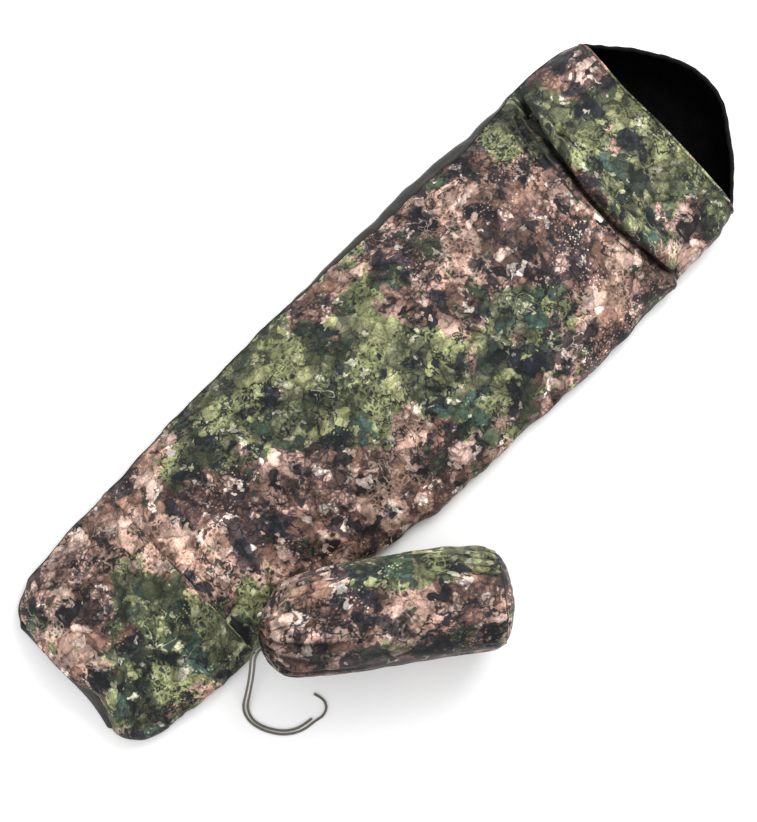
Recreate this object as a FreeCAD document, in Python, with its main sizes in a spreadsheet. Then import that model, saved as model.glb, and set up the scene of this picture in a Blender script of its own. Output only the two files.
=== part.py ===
import FreeCAD, Part
import math
import os
import Sketcher

# Bivy sack, laid out and lofted, with its filled stuff sack lying against its right edge.
# Frame: +Y from the foot to the head, +X to the bag's right, +Z up, origin on the ground
# under the middle of the bag. Millimetres.

doc = FreeCAD.newDocument("bivy_sack")
sheet = doc.addObject("Spreadsheet::Sheet", "sizes")

SIZES = {
    # bag, overall
    "half_length": 1100.0, "fabric": 3.0, "tape": 2.0, "sunk": 1.0,
    # foot end: where its rounding starts, how far the corners and the top edge draw in
    "foot_start": -980.0, "foot_half": 262.0, "foot_height": 122.0, "foot_side": 24.0,
    "foot_corner": 110.0, "foot_drop": 60.0,
    # stations along the bag: place, half width, crown height, side radius
    "ankle_place": -740.0, "ankle_half": 272.0, "ankle_height": 128.0, "ankle_side": 20.0,
    "calf_place": -550.0, "calf_half": 272.0, "calf_height": 132.0, "calf_side": 18.0,
    "calf_shift": -14.0,
    "knee_place": -330.0, "knee_half": 299.0, "knee_height": 146.0, "knee_side": 22.0,
    "hip_place": 0.0, "hip_half": 313.0, "hip_height": 166.0, "hip_side": 28.0,
    "chest_place": 400.0, "chest_half": 320.0, "chest_height": 174.0, "chest_side": 34.0,
    "zip_place": 700.0, "zip_half": 311.0, "zip_height": 160.0, "zip_side": 50.0,
    "mouth_place": 905.0, "mouth_half": 284.0, "mouth_height": 150.0, "mouth_side": 62.0,
    # hood: a round bowl behind the mouth, with a sloping rim
    "hood_height": 152.0, "hood_side": 70.0, "hood_tip_side": 36.0,
    "rim_front": 72.0, "rim_back": 112.0, "rim_band": 9.0,
    # the seam between ground sheet and upper: heights left and right at three places
    "seam_foot_left": 26.0, "seam_foot_right": 12.0,
    "seam_chest_left": 96.0, "seam_chest_right": 34.0, "seam_chest_place": 500.0,
    "seam_mouth_left": 70.0, "seam_mouth_right": 56.0,
    "seam_width": 12.0,
    # foot panel seam and mouth hem
    "foot_seam_place": -728.0, "foot_seam_width": 14.0, "hem_width": 12.0,
    # zip across the chest
    "zip_slot": 20.0, "zip_span": 235.0, "zip_coil": 3.3, "zip_split": 0.4,
    "zip_tape_width": 22.0, "zip_stop_long": 6.0,
    "slider_long": 14.0, "slider_half": 8.3, "slider_flange": 3.4, "slider_plate": 2.0,
    "slider_gap": 0.5, "slider_deep": 2.0, "slider_end": 215.0,
    "ear_long": 6.0, "ear_thick": 2.0, "ear_inner": 2.5, "ear_tall": 4.6,
    "pivot_rise": 2.8, "pin_radius": 1.1, "eye_hole": 1.3, "eye_radius": 2.4,
    "pull_long": 22.0, "pull_half": 4.0, "pull_thick": 1.6, "pull_neck": 5.0,
    # storm flap over the zip
    "flap_free": 655.0, "flap_sewn": 742.0, "flap_span": 236.0, "flap_thick": 2.5,
    "flap_rise_free": 26.0, "flap_rise_sewn": 9.0, "flap_hem_width": 9.0,
    "flap_hem_thick": 5.0, "flap_gap": 1.0, "flap_seam_width": 10.0,
    # stuff sack
    "sack_long": 598.0, "sack_radius": 139.0, "sack_skin": 2.5, "sack_air": 1.0,
    "sack_neck": 20.0, "sack_neck_start": 9.5, "sack_shoulder": 118.0,
    "sack_ring_place": 530.0, "sack_ring_radius": 127.0, "sack_ring_width": 6.0,
    "sack_belly_end": 470.0, "sack_shoulder_bow": 128.0, "sack_tail_bow": 210.0,
    "sack_disc_bow": 150.0,
    "sack_left_height": 168.0, "sack_right_height": 135.8,
    "sack_place_across": 248.0, "sack_place_along": -657.0, "sack_turn": 53.6,
    # gathered mouth of the stuff sack and its drawcord
    "channel_ring": 20.0, "channel_tube": 9.0, "channel_hole": 3.4,
    "cord_radius": 3.0, "strand_split": 3.5,
    "eyelet_radius": 9.5, "eyelet_hole": 7.0, "eyelet_thick": 3.0,
}
for row, (alias, value) in enumerate(SIZES.items(), start=1):
    sheet.set(f"A{row}", alias)
    sheet.set(f"B{row}", str(value))
    sheet.setAlias(f"B{row}", alias)
doc.recompute()


class Dim:
    """A size with its value in millimetres and its formula in terms of the sheet's cells."""

    def __init__(self, value, formula):
        self.value, self.formula = float(value), formula

    @staticmethod
    def of(other):
        return other if isinstance(other, Dim) else Dim(other, f"({float(other):g})")

    def joined(self, other, sign, value):
        return Dim(value, f"({self.formula} {sign} {other.formula})")

    def __add__(self, other):
        other = Dim.of(other)
        return self.joined(other, "+", self.value + other.value)

    def __sub__(self, other):
        other = Dim.of(other)
        return self.joined(other, "-", self.value - other.value)

    def __mul__(self, other):
        other = Dim.of(other)
        return self.joined(other, "*", self.value * other.value)

    def __truediv__(self, other):
        other = Dim.of(other)
        return self.joined(other, "/", self.value / other.value)

    def __neg__(self):
        return Dim(-self.value, f"(0 - {self.formula})")


def size(alias):
    return Dim(SIZES[alias], f"sizes.{alias}")


def bind(thing, where, dim):
    thing.setExpression(where, Dim.of(dim).formula)


# ---------------------------------------------------------------- sketches


def origin_plane(body, role):
    return next(o for o in body.Origin.OriginFeatures if o.Role == role)


def new_sketch(body, name, role, offset=None):
    """A sketch on one of the body's origin planes, set off along its normal."""
    sketch = body.newObject("Sketcher::SketchObject", name)
    sketch.AttachmentSupport = [(origin_plane(body, role), "")]
    sketch.MapMode = "FlatFace"
    if offset is not None:
        sketch.AttachmentOffset.Base.z = offset.value
        bind(sketch, "AttachmentOffset.Base.z", offset)
    return sketch


def bound(sketch, kind, *where, dim):
    """Add a dimension to the sketch and tie it to the sheet."""
    index = sketch.addConstraint(Sketcher.Constraint(kind, *where, dim.value))
    bind(sketch, f"Constraints[{index}]", dim)


def fix_point(sketch, geometry, end, across, up):
    bound(sketch, "DistanceX", -1, 1, geometry, end, dim=across)
    bound(sketch, "DistanceY", -1, 1, geometry, end, dim=up)


def loop_sketch(body, name, role, corners, bows=None, offset=None):
    """A closed loop through the corners. bows maps a side's number to the radius of its arc,
    positive where the arc swells to the left of the way from corner to corner."""
    sketch = new_sketch(body, name, role, offset)
    bows = bows or {}
    flat = [FreeCAD.Vector(a.value, b.value, 0) for a, b in corners]
    count = len(flat)
    ends = []
    for side in range(count):
        start, stop = flat[side], flat[(side + 1) % count]
        if side not in bows:
            sketch.addGeometry(Part.LineSegment(start, stop), False)
            ends.append((1, 2))
            continue
        radius = bows[side]
        chord = stop - start
        swell = 1.0 if radius.value > 0 else -1.0
        normal = FreeCAD.Vector(-chord.y, chord.x, 0).normalize() * swell
        reach = math.sqrt(radius.value ** 2 - (chord.Length / 2) ** 2)
        middle = (start + stop) * 0.5
        crest = middle + normal * (abs(radius.value) - reach)
        # a sketch's arc runs anticlockwise, so a side that swells left starts at its far end
        if swell > 0:
            sketch.addGeometry(Part.Arc(stop, crest, start), False)
            ends.append((2, 1))
        else:
            sketch.addGeometry(Part.Arc(start, crest, stop), False)
            ends.append((1, 2))
    for side in range(count):
        after = (side + 1) % count
        joint = (side, ends[side][1], after, ends[after][0])
        sketch.addConstraint(Sketcher.Constraint("Coincident", *joint))
    for side, (across, up) in enumerate(corners):
        fix_point(sketch, side, ends[side][0], across, up)
    for side, radius in bows.items():
        positive = radius if radius.value > 0 else -radius
        bound(sketch, "Radius", side, dim=positive)
    return sketch


def pillow_sketch(body, name, station, inset):
    """The bag's cross-section: flat base, round sides, and a crown arc tangent to both."""
    place, half, tall, side, shift = station
    sketch = new_sketch(body, name, "XZ_Plane", -place)
    base = inset - size("sunk")
    flat = half - side
    round_side = side - inset
    above = tall + size("sunk")
    crown_wide = (flat * flat + above * above - above * side * 2) / (above * 2 - side * 4)
    crown = crown_wide - inset

    left, right = shift.value - flat.value, shift.value + flat.value
    low, r = base.value, round_side.value
    middle = FreeCAD.Vector(shift.value, tall.value - crown_wide.value, 0)
    up = FreeCAD.Vector(0, 0, 1)
    left_middle = FreeCAD.Vector(left, low + r, 0)
    right_middle = FreeCAD.Vector(right, low + r, 0)
    lean = math.atan2(right_middle.y - middle.y, right_middle.x - middle.x)
    quarter = math.pi / 2
    edges = [
        Part.LineSegment(FreeCAD.Vector(left, low, 0), FreeCAD.Vector(right, low, 0)),
        Part.ArcOfCircle(Part.Circle(right_middle, up, r), -quarter, lean),
        Part.ArcOfCircle(Part.Circle(middle, up, crown.value), lean, 2 * quarter - lean),
        Part.ArcOfCircle(Part.Circle(left_middle, up, r), 2 * quarter - lean, 3 * quarter),
    ]
    for edge in edges:
        sketch.addGeometry(edge, False)
    for here, there in ((0, 1), (1, 2), (2, 3), (3, 0)):
        sketch.addConstraint(Sketcher.Constraint("Tangent", here, 2, there, 1))
    sketch.addConstraint(Sketcher.Constraint("Horizontal", 0))
    fix_point(sketch, 0, 1, shift - flat, base)
    bound(sketch, "DistanceX", -1, 1, 0, 2, dim=shift + flat)
    bound(sketch, "Radius", 1, dim=round_side)
    bound(sketch, "Radius", 2, dim=crown)
    bound(sketch, "Radius", 3, dim=round_side)
    return sketch


def loft(body, sketches, ruled=False):
    feature = body.newObject("PartDesign::AdditiveLoft", body.Name + "_loft")
    feature.Profile = sketches[0]
    feature.Sections = sketches[1:]
    feature.Ruled = ruled
    for sketch in sketches:
        sketch.Visibility = False
    return feature


# ---------------------------------------------------------------- solids from the sheet

nodes = {}


def node(name, thing):
    """Name a finished piece of the object."""
    thing.Label = name
    nodes[name] = thing
    return thing


def combine(kind, name, base, tool):
    thing = doc.addObject(f"Part::{kind}", name)
    thing.Base, thing.Tool = base, tool
    return thing


def cut(name, base, tool):
    return combine("Cut", name, base, tool)


def common(name, base, tool):
    return combine("Common", name, base, tool)


def block(name, across, along, up):
    """A box from a low and a high limit each way."""
    box = doc.addObject("Part::Box", name)
    limits = (("x", "Length", across), ("y", "Width", along), ("z", "Height", up))
    for axis, span, (low, high) in limits:
        low, high = Dim.of(low), Dim.of(high)
        bind(box, f"Placement.Base.{axis}", low)
        bind(box, span, high - low)
    return box


WIDE = (-450, 450)
TALL = (-20, 400)
FAR = 1300


def slab(name, along, across=WIDE, up=TALL):
    return block(name, across, along, up)


# ---------------------------------------------------------------- the bag's form


# The hood's plan is a parabola, cut off just short of its point.
HOOD_TIP = 0.018


def stations(inset):
    """(place, half width, crown height, side radius, shift) along the bag, inset all round."""
    zero = Dim.of(0)
    rows = []
    for reach in (1.0, 0.93, 0.72, 0.4):
        drawn = 1 - math.sqrt(1 - reach ** 2)
        run = -size("half_length") - size("foot_start")
        place = size("foot_start") + run * reach + inset * reach
        half = size("foot_half") - size("foot_corner") * drawn
        tall = size("foot_height") - size("foot_drop") * drawn
        rows.append((place, half, tall, size("foot_side"), zero))
    parts = ("height", "side")
    rows.append((size("foot_start"), size("foot_half"), *(size(f"foot_{part}") for part in parts), zero))
    for name in ("ankle", "calf", "knee", "hip", "chest", "zip", "mouth"):
        shift = size("calf_shift") if name == "calf" else zero
        rows.append((*(size(f"{name}_{part}") for part in ("place", "half", *parts)), shift))
    depth = size("half_length") - size("mouth_place")
    for reach in (0.35, 0.65, 0.86, 0.96, 1.0):
        place = size("mouth_place") + depth * reach - inset * reach
        half = size("mouth_half") * math.sqrt(1 - reach + HOOD_TIP)
        side = size("hood_side") + (size("hood_tip_side") - size("hood_side")) * reach
        rows.append((place, half, size("hood_height"), side, zero))
    return rows


def bag_form(name, inset):
    body = doc.addObject("PartDesign::Body", name)
    sketches = [
        pillow_sketch(body, f"{name}_section_{number}", station, inset)
        for number, station in enumerate(stations(inset))
    ]
    loft(body, sketches)
    return body


def seam_form(name, lift):
    """Everything below the side seam, which climbs from the foot to the chest."""
    body = doc.addObject("PartDesign::Body", name)
    places = (
        (-size("half_length") - 40, "foot"), (size("seam_chest_place"), "chest"),
        (size("mouth_place") + 60, "mouth"),
    )
    sketches = []
    for place, part in places:
        corners = [
            (Dim.of(-400), Dim.of(-30)), (Dim.of(400), Dim.of(-30)),
            (Dim.of(400), size(f"seam_{part}_right") + lift),
            (Dim.of(-400), size(f"seam_{part}_left") + lift),
        ]
        sketches.append(loop_sketch(body, f"{name}_{part}", "XZ_Plane", corners, offset=-place))
    loft(body, sketches, ruled=True)
    return body


def rim_form(name, lower):
    """Everything below the hood's sloping rim, or below that by the given amount."""
    body = doc.addObject("PartDesign::Body", name)
    front, back = size("mouth_place") - 60, size("half_length") + 40
    corners = [
        (front, Dim.of(-30)), (back, Dim.of(-30)),
        (back, size("rim_back") - lower), (front, size("rim_front") - lower),
    ]
    sketch = loop_sketch(body, f"{name}_side", "YZ_Plane", corners)
    pad = body.newObject("PartDesign::Pad", f"{name}_pad")
    pad.Profile = sketch
    pad.Midplane = True
    pad.Length = 900
    return body


fabric, tape = size("fabric"), size("tape")
taped_form = bag_form("taped_form", -tape)
outer_form = bag_form("outer_form", Dim.of(0))
inner_form = bag_form("inner_form", fabric)
lined_form = bag_form("lined_form", fabric + tape)
below_seam = seam_form("below_seam", Dim.of(0))
above_ground = slab("above_ground", (-FAR, FAR), up=(0, 400))

shell = common("shell", cut("hollow", outer_form, inner_form), above_ground)
edging = cut("edging", taped_form, outer_form)
through = cut("through", taped_form, lined_form)
lining = cut("lining", inner_form, lined_form)

mouth = size("mouth_place")
hem_start = mouth - size("hem_width")
zip_place = size("zip_place")
half_slot = size("zip_slot") / 2
zip_slot = slab("zip_slot", (zip_place - half_slot, zip_place + half_slot),
                (-size("zip_span"), size("zip_span")))

# ---------------------------------------------------------------- bag panels

upper = cut("upper", shell, below_seam)
lower = common("lower", shell, below_seam)
node("ground_sheet", common("ground_sheet", lower, slab("before_mouth", (-FAR, mouth))))
foot_seam = size("foot_seam_place")
node("foot_panel", common("foot_panel", upper, slab("foot_slab", (-FAR, foot_seam))))
top_full = common("top_full", upper, slab("top_slab", (foot_seam, zip_place)))
node("top_panel", cut("top_panel", top_full, zip_slot))
band_full = common("band_full", upper, slab("band_slab", (zip_place, hem_start)))
node("hood_band", cut("hood_band", band_full, zip_slot))

# tapes over the side seam, split at the foot, and over the foot panel's seam
half_seam = size("seam_width") / 2
seam_strip = cut("seam_strip", common("seam_high", edging, seam_form("seam_top", half_seam)),
                 seam_form("seam_bottom", -half_seam))
for name, across in (("left", (WIDE[0], 0)), ("right", (0, WIDE[1]))):
    side_slab = slab(f"{name}_slab", (-FAR, hem_start), across)
    node(f"{name}_side_seam", common(f"{name}_side_seam", seam_strip, side_slab))
half_foot_seam = size("foot_seam_width") / 2
foot_seam_slab = slab("foot_seam_slab", (foot_seam - half_foot_seam, foot_seam + half_foot_seam))
node("foot_seam_tape", cut("foot_seam_tape", common("foot_seam_ring", edging, foot_seam_slab),
                           seam_form("foot_tape_end", half_seam)))

# hem of the mouth, hood bowl, its black lining and the binding on its rim
mouth_ring = common("mouth_ring", through, slab("hem_slab", (hem_start, mouth)))
node("mouth_hem", cut("mouth_hem", mouth_ring, below_seam))
below_rim = rim_form("below_rim", Dim.of(0))
below_band = rim_form("below_band", size("rim_band"))
behind_mouth = slab("behind_mouth", (mouth, FAR))
hood_skin = common("hood_skin", shell, behind_mouth)
node("hood_shell", common("hood_shell", hood_skin, below_band))
lining_part = common("lining_part", lining, behind_mouth)
node("hood_lining", common("hood_lining", lining_part, below_band))
rim_part = common("rim_part", common("rim_ring", through, behind_mouth), below_rim)
node("hood_rim_binding", cut("hood_rim_binding", rim_part, below_band))

# ---------------------------------------------------------------- zip

split = size("zip_split") / 2
coil = size("zip_coil")
stop_start = size("zip_span") - size("zip_stop_long")
zip_width = (-stop_start, stop_start)
above_floor = (60, 400)


def zip_half(name, side):
    """One tape, inside the panel, and one coil along its edge."""
    inner_edge = zip_place + split * side
    coil_edge = inner_edge + coil * side
    tape_edge = coil_edge + size("zip_tape_width") * side
    for part, ring, ends in (("coil", through, (inner_edge, coil_edge)),
                             ("tape", lining, (coil_edge, tape_edge))):
        ends = ends if side > 0 else ends[::-1]
        strip = slab(f"zip_{part}_{name}_slab", ends, zip_width, above_floor)
        node(f"zip_{part}_{name}", common(f"zip_{part}_{name}", ring, strip))


zip_half("lower", -1)
zip_half("upper", 1)
stop_half = size("slider_half")
stop_limits = (zip_place - stop_half, zip_place + stop_half)
zip_end = size("zip_span")
for name, across in (("left", (-zip_end, -stop_start)), ("right", (stop_start, zip_end))):
    place = slab(f"zip_stop_{name}_slab", stop_limits, across, above_floor)
    node(f"zip_stop_{name}", common(f"zip_stop_{name}", through, place))

# The crown over the zip is one arc, so the slider turns about that arc's centre.
zip_flat = size("zip_half") - size("zip_side")
zip_above = size("zip_height") + size("sunk")
zip_arc = (zip_flat * zip_flat + zip_above * zip_above - zip_above * size("zip_side") * 2) / (
    zip_above * 2 - size("zip_side") * 4)
zip_centre = size("zip_height") - zip_arc
slider_angle = math.degrees(math.asin(SIZES["slider_end"] / zip_arc.value))
slider_place = FreeCAD.Placement(
    FreeCAD.Vector(0, zip_place.value, zip_centre.value),
    FreeCAD.Rotation(FreeCAD.Vector(0, 1, 0), -slider_angle))


def pad(body, sketch, length, name):
    feature = body.newObject("PartDesign::Pad", name)
    feature.Profile = sketch
    feature.Midplane = True
    feature.Length = length.value
    bind(feature, "Length", length)
    sketch.Visibility = False
    return feature


def slider_body():
    """A channel that straddles both coils, with two ears and the pin that holds the pull."""
    body = doc.addObject("PartDesign::Body", "zip_slider")
    half, web = size("slider_half"), size("slider_half") - size("slider_flange")
    under = zip_arc + tape + size("slider_gap")
    top = under + size("slider_plate")
    foot = zip_arc - size("slider_deep")
    channel = [(-half, foot), (-web, foot), (-web, under), (web, under), (web, foot), (half, foot),
               (half, top), (-half, top)]
    pad(body, loop_sketch(body, "channel", "YZ_Plane", channel), size("slider_long"), "channel_pad")
    for name, side in (("near", -1), ("far", 1)):
        low = size("ear_inner") * side
        high = (size("ear_inner") + size("ear_thick")) * side
        bottom, peak = top - 0.5, top + size("ear_tall")
        ear = [(low, bottom), (high, bottom), (high, peak), (low, peak)]
        ear = ear if side > 0 else ear[::-1]
        pad(body, loop_sketch(body, f"ear_{name}", "YZ_Plane", ear), size("ear_long"), f"ear_{name}_pad")
    pin = new_sketch(body, "pin", "XZ_Plane")
    pivot = top + size("pivot_rise")
    centre, up = FreeCAD.Vector(0, pivot.value, 0), FreeCAD.Vector(0, 0, 1)
    pin.addGeometry(Part.Circle(centre, up, SIZES["pin_radius"]), False)
    pin.addConstraint(Sketcher.Constraint("PointOnObject", 0, 3, -2))
    bound(pin, "DistanceY", -1, 1, 0, 3, dim=pivot)
    bound(pin, "Radius", 0, dim=size("pin_radius"))
    pad(body, pin, (size("ear_inner") + size("ear_thick")) * 2 - 0.4, "pin_pad")
    body.Placement = slider_place
    return body


def pull_body():
    """The tab on the slider's pin: an eye, a narrow neck and a wider grip with a hole."""
    body = doc.addObject("PartDesign::Body", "zip_pull")
    pivot = zip_arc + tape + size("slider_gap") + size("slider_plate") + size("pivot_rise")
    half_thick = size("pull_thick") / 2
    eye = new_sketch(body, "eye", "XZ_Plane")
    centre, up = FreeCAD.Vector(0, pivot.value, 0), FreeCAD.Vector(0, 0, 1)
    for ring, radius in enumerate((size("eye_radius"), size("eye_hole"))):
        eye.addGeometry(Part.Circle(centre, up, radius.value), False)
        eye.addConstraint(Sketcher.Constraint("PointOnObject", ring, 3, -2))
        bound(eye, "DistanceY", -1, 1, ring, 3, dim=pivot)
        bound(eye, "Radius", ring, dim=radius)
    pad(body, eye, size("ear_inner") * 2 - 0.6, "eye_pad")
    start = size("eye_hole") + 0.5
    neck, grip, tip = size("ear_inner") - 0.3, size("pull_neck"), size("pull_long")
    wide = size("pull_half")
    corner = 1.5
    right_side = [(start, -neck), (grip, -neck), (grip + 2, -wide), (tip - corner, -wide),
                  (tip, -wide + corner)]
    outline = right_side + [(along, -across) for along, across in reversed(right_side)]
    tab = loop_sketch(body, "tab", "XY_Plane", outline, offset=pivot)
    pad(body, tab, half_thick * 2, "tab_pad")
    body.Placement = slider_place
    return body


node("zip_slider", slider_body())
node("zip_pull", pull_body())

# ---------------------------------------------------------------- storm flap


def arc_strip(name, limits, low_rise, high_rise, span):
    """A strip over the crown, concentric with the zip's arc, from one place to another.
    Each end has its own rise above the zip's arc; both are (under, over) pairs."""
    body = doc.addObject("PartDesign::Body", name)
    sketches = []
    for number, (place, (under, over)) in enumerate(zip(limits, (low_rise, high_rise))):
        inner, outer = zip_arc + under, zip_arc + over
        corners, bows = [], {}
        for radius, sides in ((inner, (-1, 1)), (outer, (1, -1))):
            drop = math.sqrt(radius.value ** 2 - span.value ** 2) / radius.value
            for side in sides:
                corners.append((span * side, zip_centre + radius * drop))
        bows = {0: inner, 2: -outer}
        sketches.append(loop_sketch(body, f"{name}_{number}", "XZ_Plane", corners, bows, offset=-place))
    loft(body, sketches, ruled=True)
    return body


flap_free, flap_sewn = size("flap_free"), size("flap_sewn")
rise_free, rise_sewn, thick = size("flap_rise_free"), size("flap_rise_sewn"), size("flap_thick")
flap_span = size("flap_span")
node("storm_flap", arc_strip("storm_flap", (flap_free, flap_sewn), (rise_free, rise_free + thick),
                             (rise_sewn, rise_sewn + thick), flap_span))
bulge = (size("flap_hem_thick") - thick) / 2
hem_rise = (rise_free - bulge, rise_free + thick + bulge)
hem_limits = (flap_free - size("flap_hem_width"), flap_free)
node("flap_hem", arc_strip("flap_hem", hem_limits, hem_rise, hem_rise, flap_span))
# the strip of band that the flap is sewn to stands up to the flap's edge
seam_from = flap_sewn + size("flap_gap")
seam_rise = (Dim.of(-30), rise_sewn + thick)
root_limits = (seam_from, seam_from + size("flap_seam_width"))
flap_root = arc_strip("flap_root", root_limits, seam_rise, seam_rise, flap_span)
node("flap_seam", cut("flap_seam", flap_root, outer_form))

# ---------------------------------------------------------------- stuff sack

sack_slope = math.degrees(math.asin(
    (SIZES["sack_left_height"] - SIZES["sack_right_height"]) / SIZES["sack_ring_place"]))
sack_start = FreeCAD.Vector(
    *(SIZES[f"sack_{part}"] for part in ("place_across", "place_along", "left_height")))
sack_place = FreeCAD.Placement(
    sack_start,
    FreeCAD.Rotation(FreeCAD.Vector(0, 0, 1), SIZES["sack_turn"])
    * FreeCAD.Rotation(FreeCAD.Vector(0, 1, 0), sack_slope))


def turned(name, corners, bows):
    """A solid of revolution about the sack's axis, from its half profile."""
    body = doc.addObject("PartDesign::Body", name)
    sketch = loop_sketch(body, f"{name}_profile", "XY_Plane", corners, bows)
    spin = body.newObject("PartDesign::Revolution", f"{name}_turn")
    spin.Profile = sketch
    spin.ReferenceAxis = (sketch, ["H_Axis"])
    spin.Angle = 360
    sketch.Visibility = False
    body.Placement = sack_place
    return body


def sack_outline(depth):
    """Corners of the sack's side, from neck to end ring, set in by depth."""
    return [
        (size("sack_neck_start") + depth, size("sack_neck")),
        (size("sack_shoulder"), size("sack_radius") - depth),
        (size("sack_belly_end"), size("sack_radius") - depth),
        (size("sack_ring_place"), size("sack_ring_radius") - depth),
    ]


def sack_side():
    skin = size("sack_skin")
    outside, inside = sack_outline(Dim.of(0)), sack_outline(skin)
    shoulder, tail = size("sack_shoulder_bow"), size("sack_tail_bow")
    bows = {0: shoulder, 2: tail, 4: -(tail - skin), 6: -(shoulder - skin)}
    return turned("sack_body", outside + inside[::-1], bows)


def sack_end():
    skin, bow, tip, zero = size("sack_skin"), size("sack_disc_bow"), size("sack_long"), Dim.of(0)
    ring, radius = size("sack_ring_place") + size("sack_ring_width"), size("sack_ring_radius") - 1
    corners = [(ring, radius), (tip, zero), (tip - skin, zero), (ring, radius - skin)]
    return turned("sack_end_disc", corners, {0: bow, 2: -(bow - skin)})


def sack_ring():
    start = size("sack_ring_place")
    stop = start + size("sack_ring_width")
    outer, inner = size("sack_ring_radius") + 3, size("sack_ring_radius") - size("sack_skin") - 1
    corners = [(start, inner), (start, outer), (stop, outer), (stop, inner)]
    return turned("sack_end_seam", corners, {})


def sack_filling():
    depth = size("sack_skin") + size("sack_air")
    outline = sack_outline(depth)
    ring = size("sack_ring_place")
    zero = Dim.of(0)
    shoulder, tail = size("sack_shoulder_bow"), size("sack_tail_bow")
    corners = [(size("sack_neck_start") + depth, zero)] + outline + [(ring, zero)]
    return turned("sack_filling", corners, {1: shoulder - depth, 3: tail - depth})


node("sack_body", sack_side())
node("sack_end_disc", sack_end())
node("sack_end_seam", sack_ring())
node("sack_filling", sack_filling())


def torus(name, ring, tube, place):
    thing = doc.addObject("Part::Torus", name)
    bind(thing, "Radius1", ring)
    bind(thing, "Radius2", tube)
    thing.Placement = place
    return thing


channel_place = sack_place * FreeCAD.Placement(
    FreeCAD.Vector(), FreeCAD.Rotation(FreeCAD.Vector(0, 1, 0), 90))
ring_size = size("channel_ring")
channel_solid = torus("channel_solid", ring_size, size("channel_tube"), channel_place)
channel_bore = torus("channel_bore", ring_size, size("channel_hole"), channel_place)
node("sack_mouth_channel", cut("sack_mouth_channel", channel_solid, channel_bore))
node("channel_cord", torus("channel_cord", ring_size, size("cord_radius"), channel_place))

# ---------------------------------------------------------------- drawcord

axis = sack_place.Rotation.multVec(FreeCAD.Vector(1, 0, 0))
outward = sack_place.Rotation.multVec(FreeCAD.Vector(0, -1, 0))
upward = sack_place.Rotation.multVec(FreeCAD.Vector(0, 0, 1))
downhill = (outward * 0.8 - upward * 0.6).normalize()
mouth_edge = sack_start + downhill * (SIZES["channel_ring"] + SIZES["channel_tube"] + 0.2)

eyelet_place = FreeCAD.Placement(mouth_edge, FreeCAD.Rotation(FreeCAD.Vector(0, 0, 1), downhill))


def eyelet():
    tubes = []
    for name, radius in (("eyelet_outer", "eyelet_radius"), ("eyelet_inner", "eyelet_hole")):
        tube = doc.addObject("Part::Cylinder", name)
        bind(tube, "Radius", size(radius))
        bind(tube, "Height", size("eyelet_thick"))
        tube.Placement = eyelet_place
        tubes.append(tube)
    return cut("cord_eyelet", *tubes)


node("cord_eyelet", eyelet())

strand_axis = axis * SIZES["strand_split"]

# Routes, point by point: out of the eyelet, down past the bag's edge, round on the ground.
LONG_ROUTE = [
    (279, -689, 135), (274, -722, 127), (304, -757, 74), (331, -799, 22), (350, -832, 3.2),
    (388, -842, 3.2), (432, -827, 3.2), (470, -798, 3.2), (491, -760, 3.2), (494, -722, 3.2), (499, -697, 3.2),
    (487, -676, 3.2), (464, -672, 3.2), (444, -680, 3.2),
]
SHORT_ROUTE = [
    (287.5, -684, 133), (284, -718, 125), (311, -751, 72), (338, -793, 22), (357, -823, 3.2),
    (390, -833, 3.2), (428, -819, 3.2), (463, -792, 3.2), (482, -757, 3.2), (484, -724, 3.2),
]


def strand_route(start, points):
    return [mouth_edge + start] + [FreeCAD.Vector(*point) for point in points]


def rounded_path(route):
    """Straight runs joined by tangent arcs. Returns the wire and its tightest radius."""
    edges, radii, start = [], [], route[0]
    for before, corner, after in zip(route, route[1:], route[2:]):
        into, out = corner - before, after - corner
        turn = into.getAngle(out)
        cut_back = 0.45 * min(into.Length, out.Length)
        radii.append(cut_back / math.tan(turn / 2))
        into.normalize()
        out.normalize()
        first, last = corner - into * cut_back, corner + out * cut_back
        bisector = (out - into).normalize()
        crest = corner + bisector * radii[-1] * (1 / math.cos(turn / 2) - 1)
        edges.append(Part.LineSegment(start, first).toShape())
        edges.append(Part.Arc(first, crest, last).toShape())
        start = last
    edges.append(Part.LineSegment(start, route[-1]).toShape())
    return Part.Wire(edges), radii


def cord_tube(name, route):
    wire, radii = rounded_path(route)
    radius = SIZES["cord_radius"]
    heading = route[1] - route[0]
    profile = Part.Wire(Part.Circle(route[0], heading, radius).toShape())
    thing = doc.addObject("Part::Feature", name)
    thing.Shape = wire.makePipeShell([profile], True, True)
    expected = math.pi * radius ** 2 * wire.Length
    print(name, "length", round(wire.Length, 1), "radii", [round(r, 1) for r in radii],
          "volume ratio", round(thing.Shape.Volume / expected, 4))
    return thing


node("drawcord_long", cord_tube("drawcord_long", strand_route(-strand_axis, LONG_ROUTE)))
node("drawcord_short", cord_tube("drawcord_short", strand_route(strand_axis, SHORT_ROUTE)))

# ---------------------------------------------------------------- build and write

doc.recompute()
for thing in doc.Objects:
    if "Invalid" in thing.State or "Error" in thing.State:
        raise RuntimeError(f"{thing.Label} did not build: {thing.State}")
os.makedirs("parts", exist_ok=True)
for name, thing in nodes.items():
    shape = thing.Shape
    if shape.isNull() or not shape.isValid() or not shape.Solids:
        raise RuntimeError(f"{name} has no valid solid")
    shape.exportStep(f"parts/{name}.step")
    box = shape.BoundBox
    print(f"{name}: {len(shape.Solids)} solid, {shape.Volume / 1000:.1f} cm3, lowest {box.ZMin:.1f}")
print("zip arc", round(zip_arc.value, 3), "centre height", round(zip_centre.value, 3),
      "slider angle", round(slider_angle, 3))
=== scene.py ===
import math

import bmesh
import bpy
import numpy as np
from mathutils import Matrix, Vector
from mathutils.bvhtree import BVHTree


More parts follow.
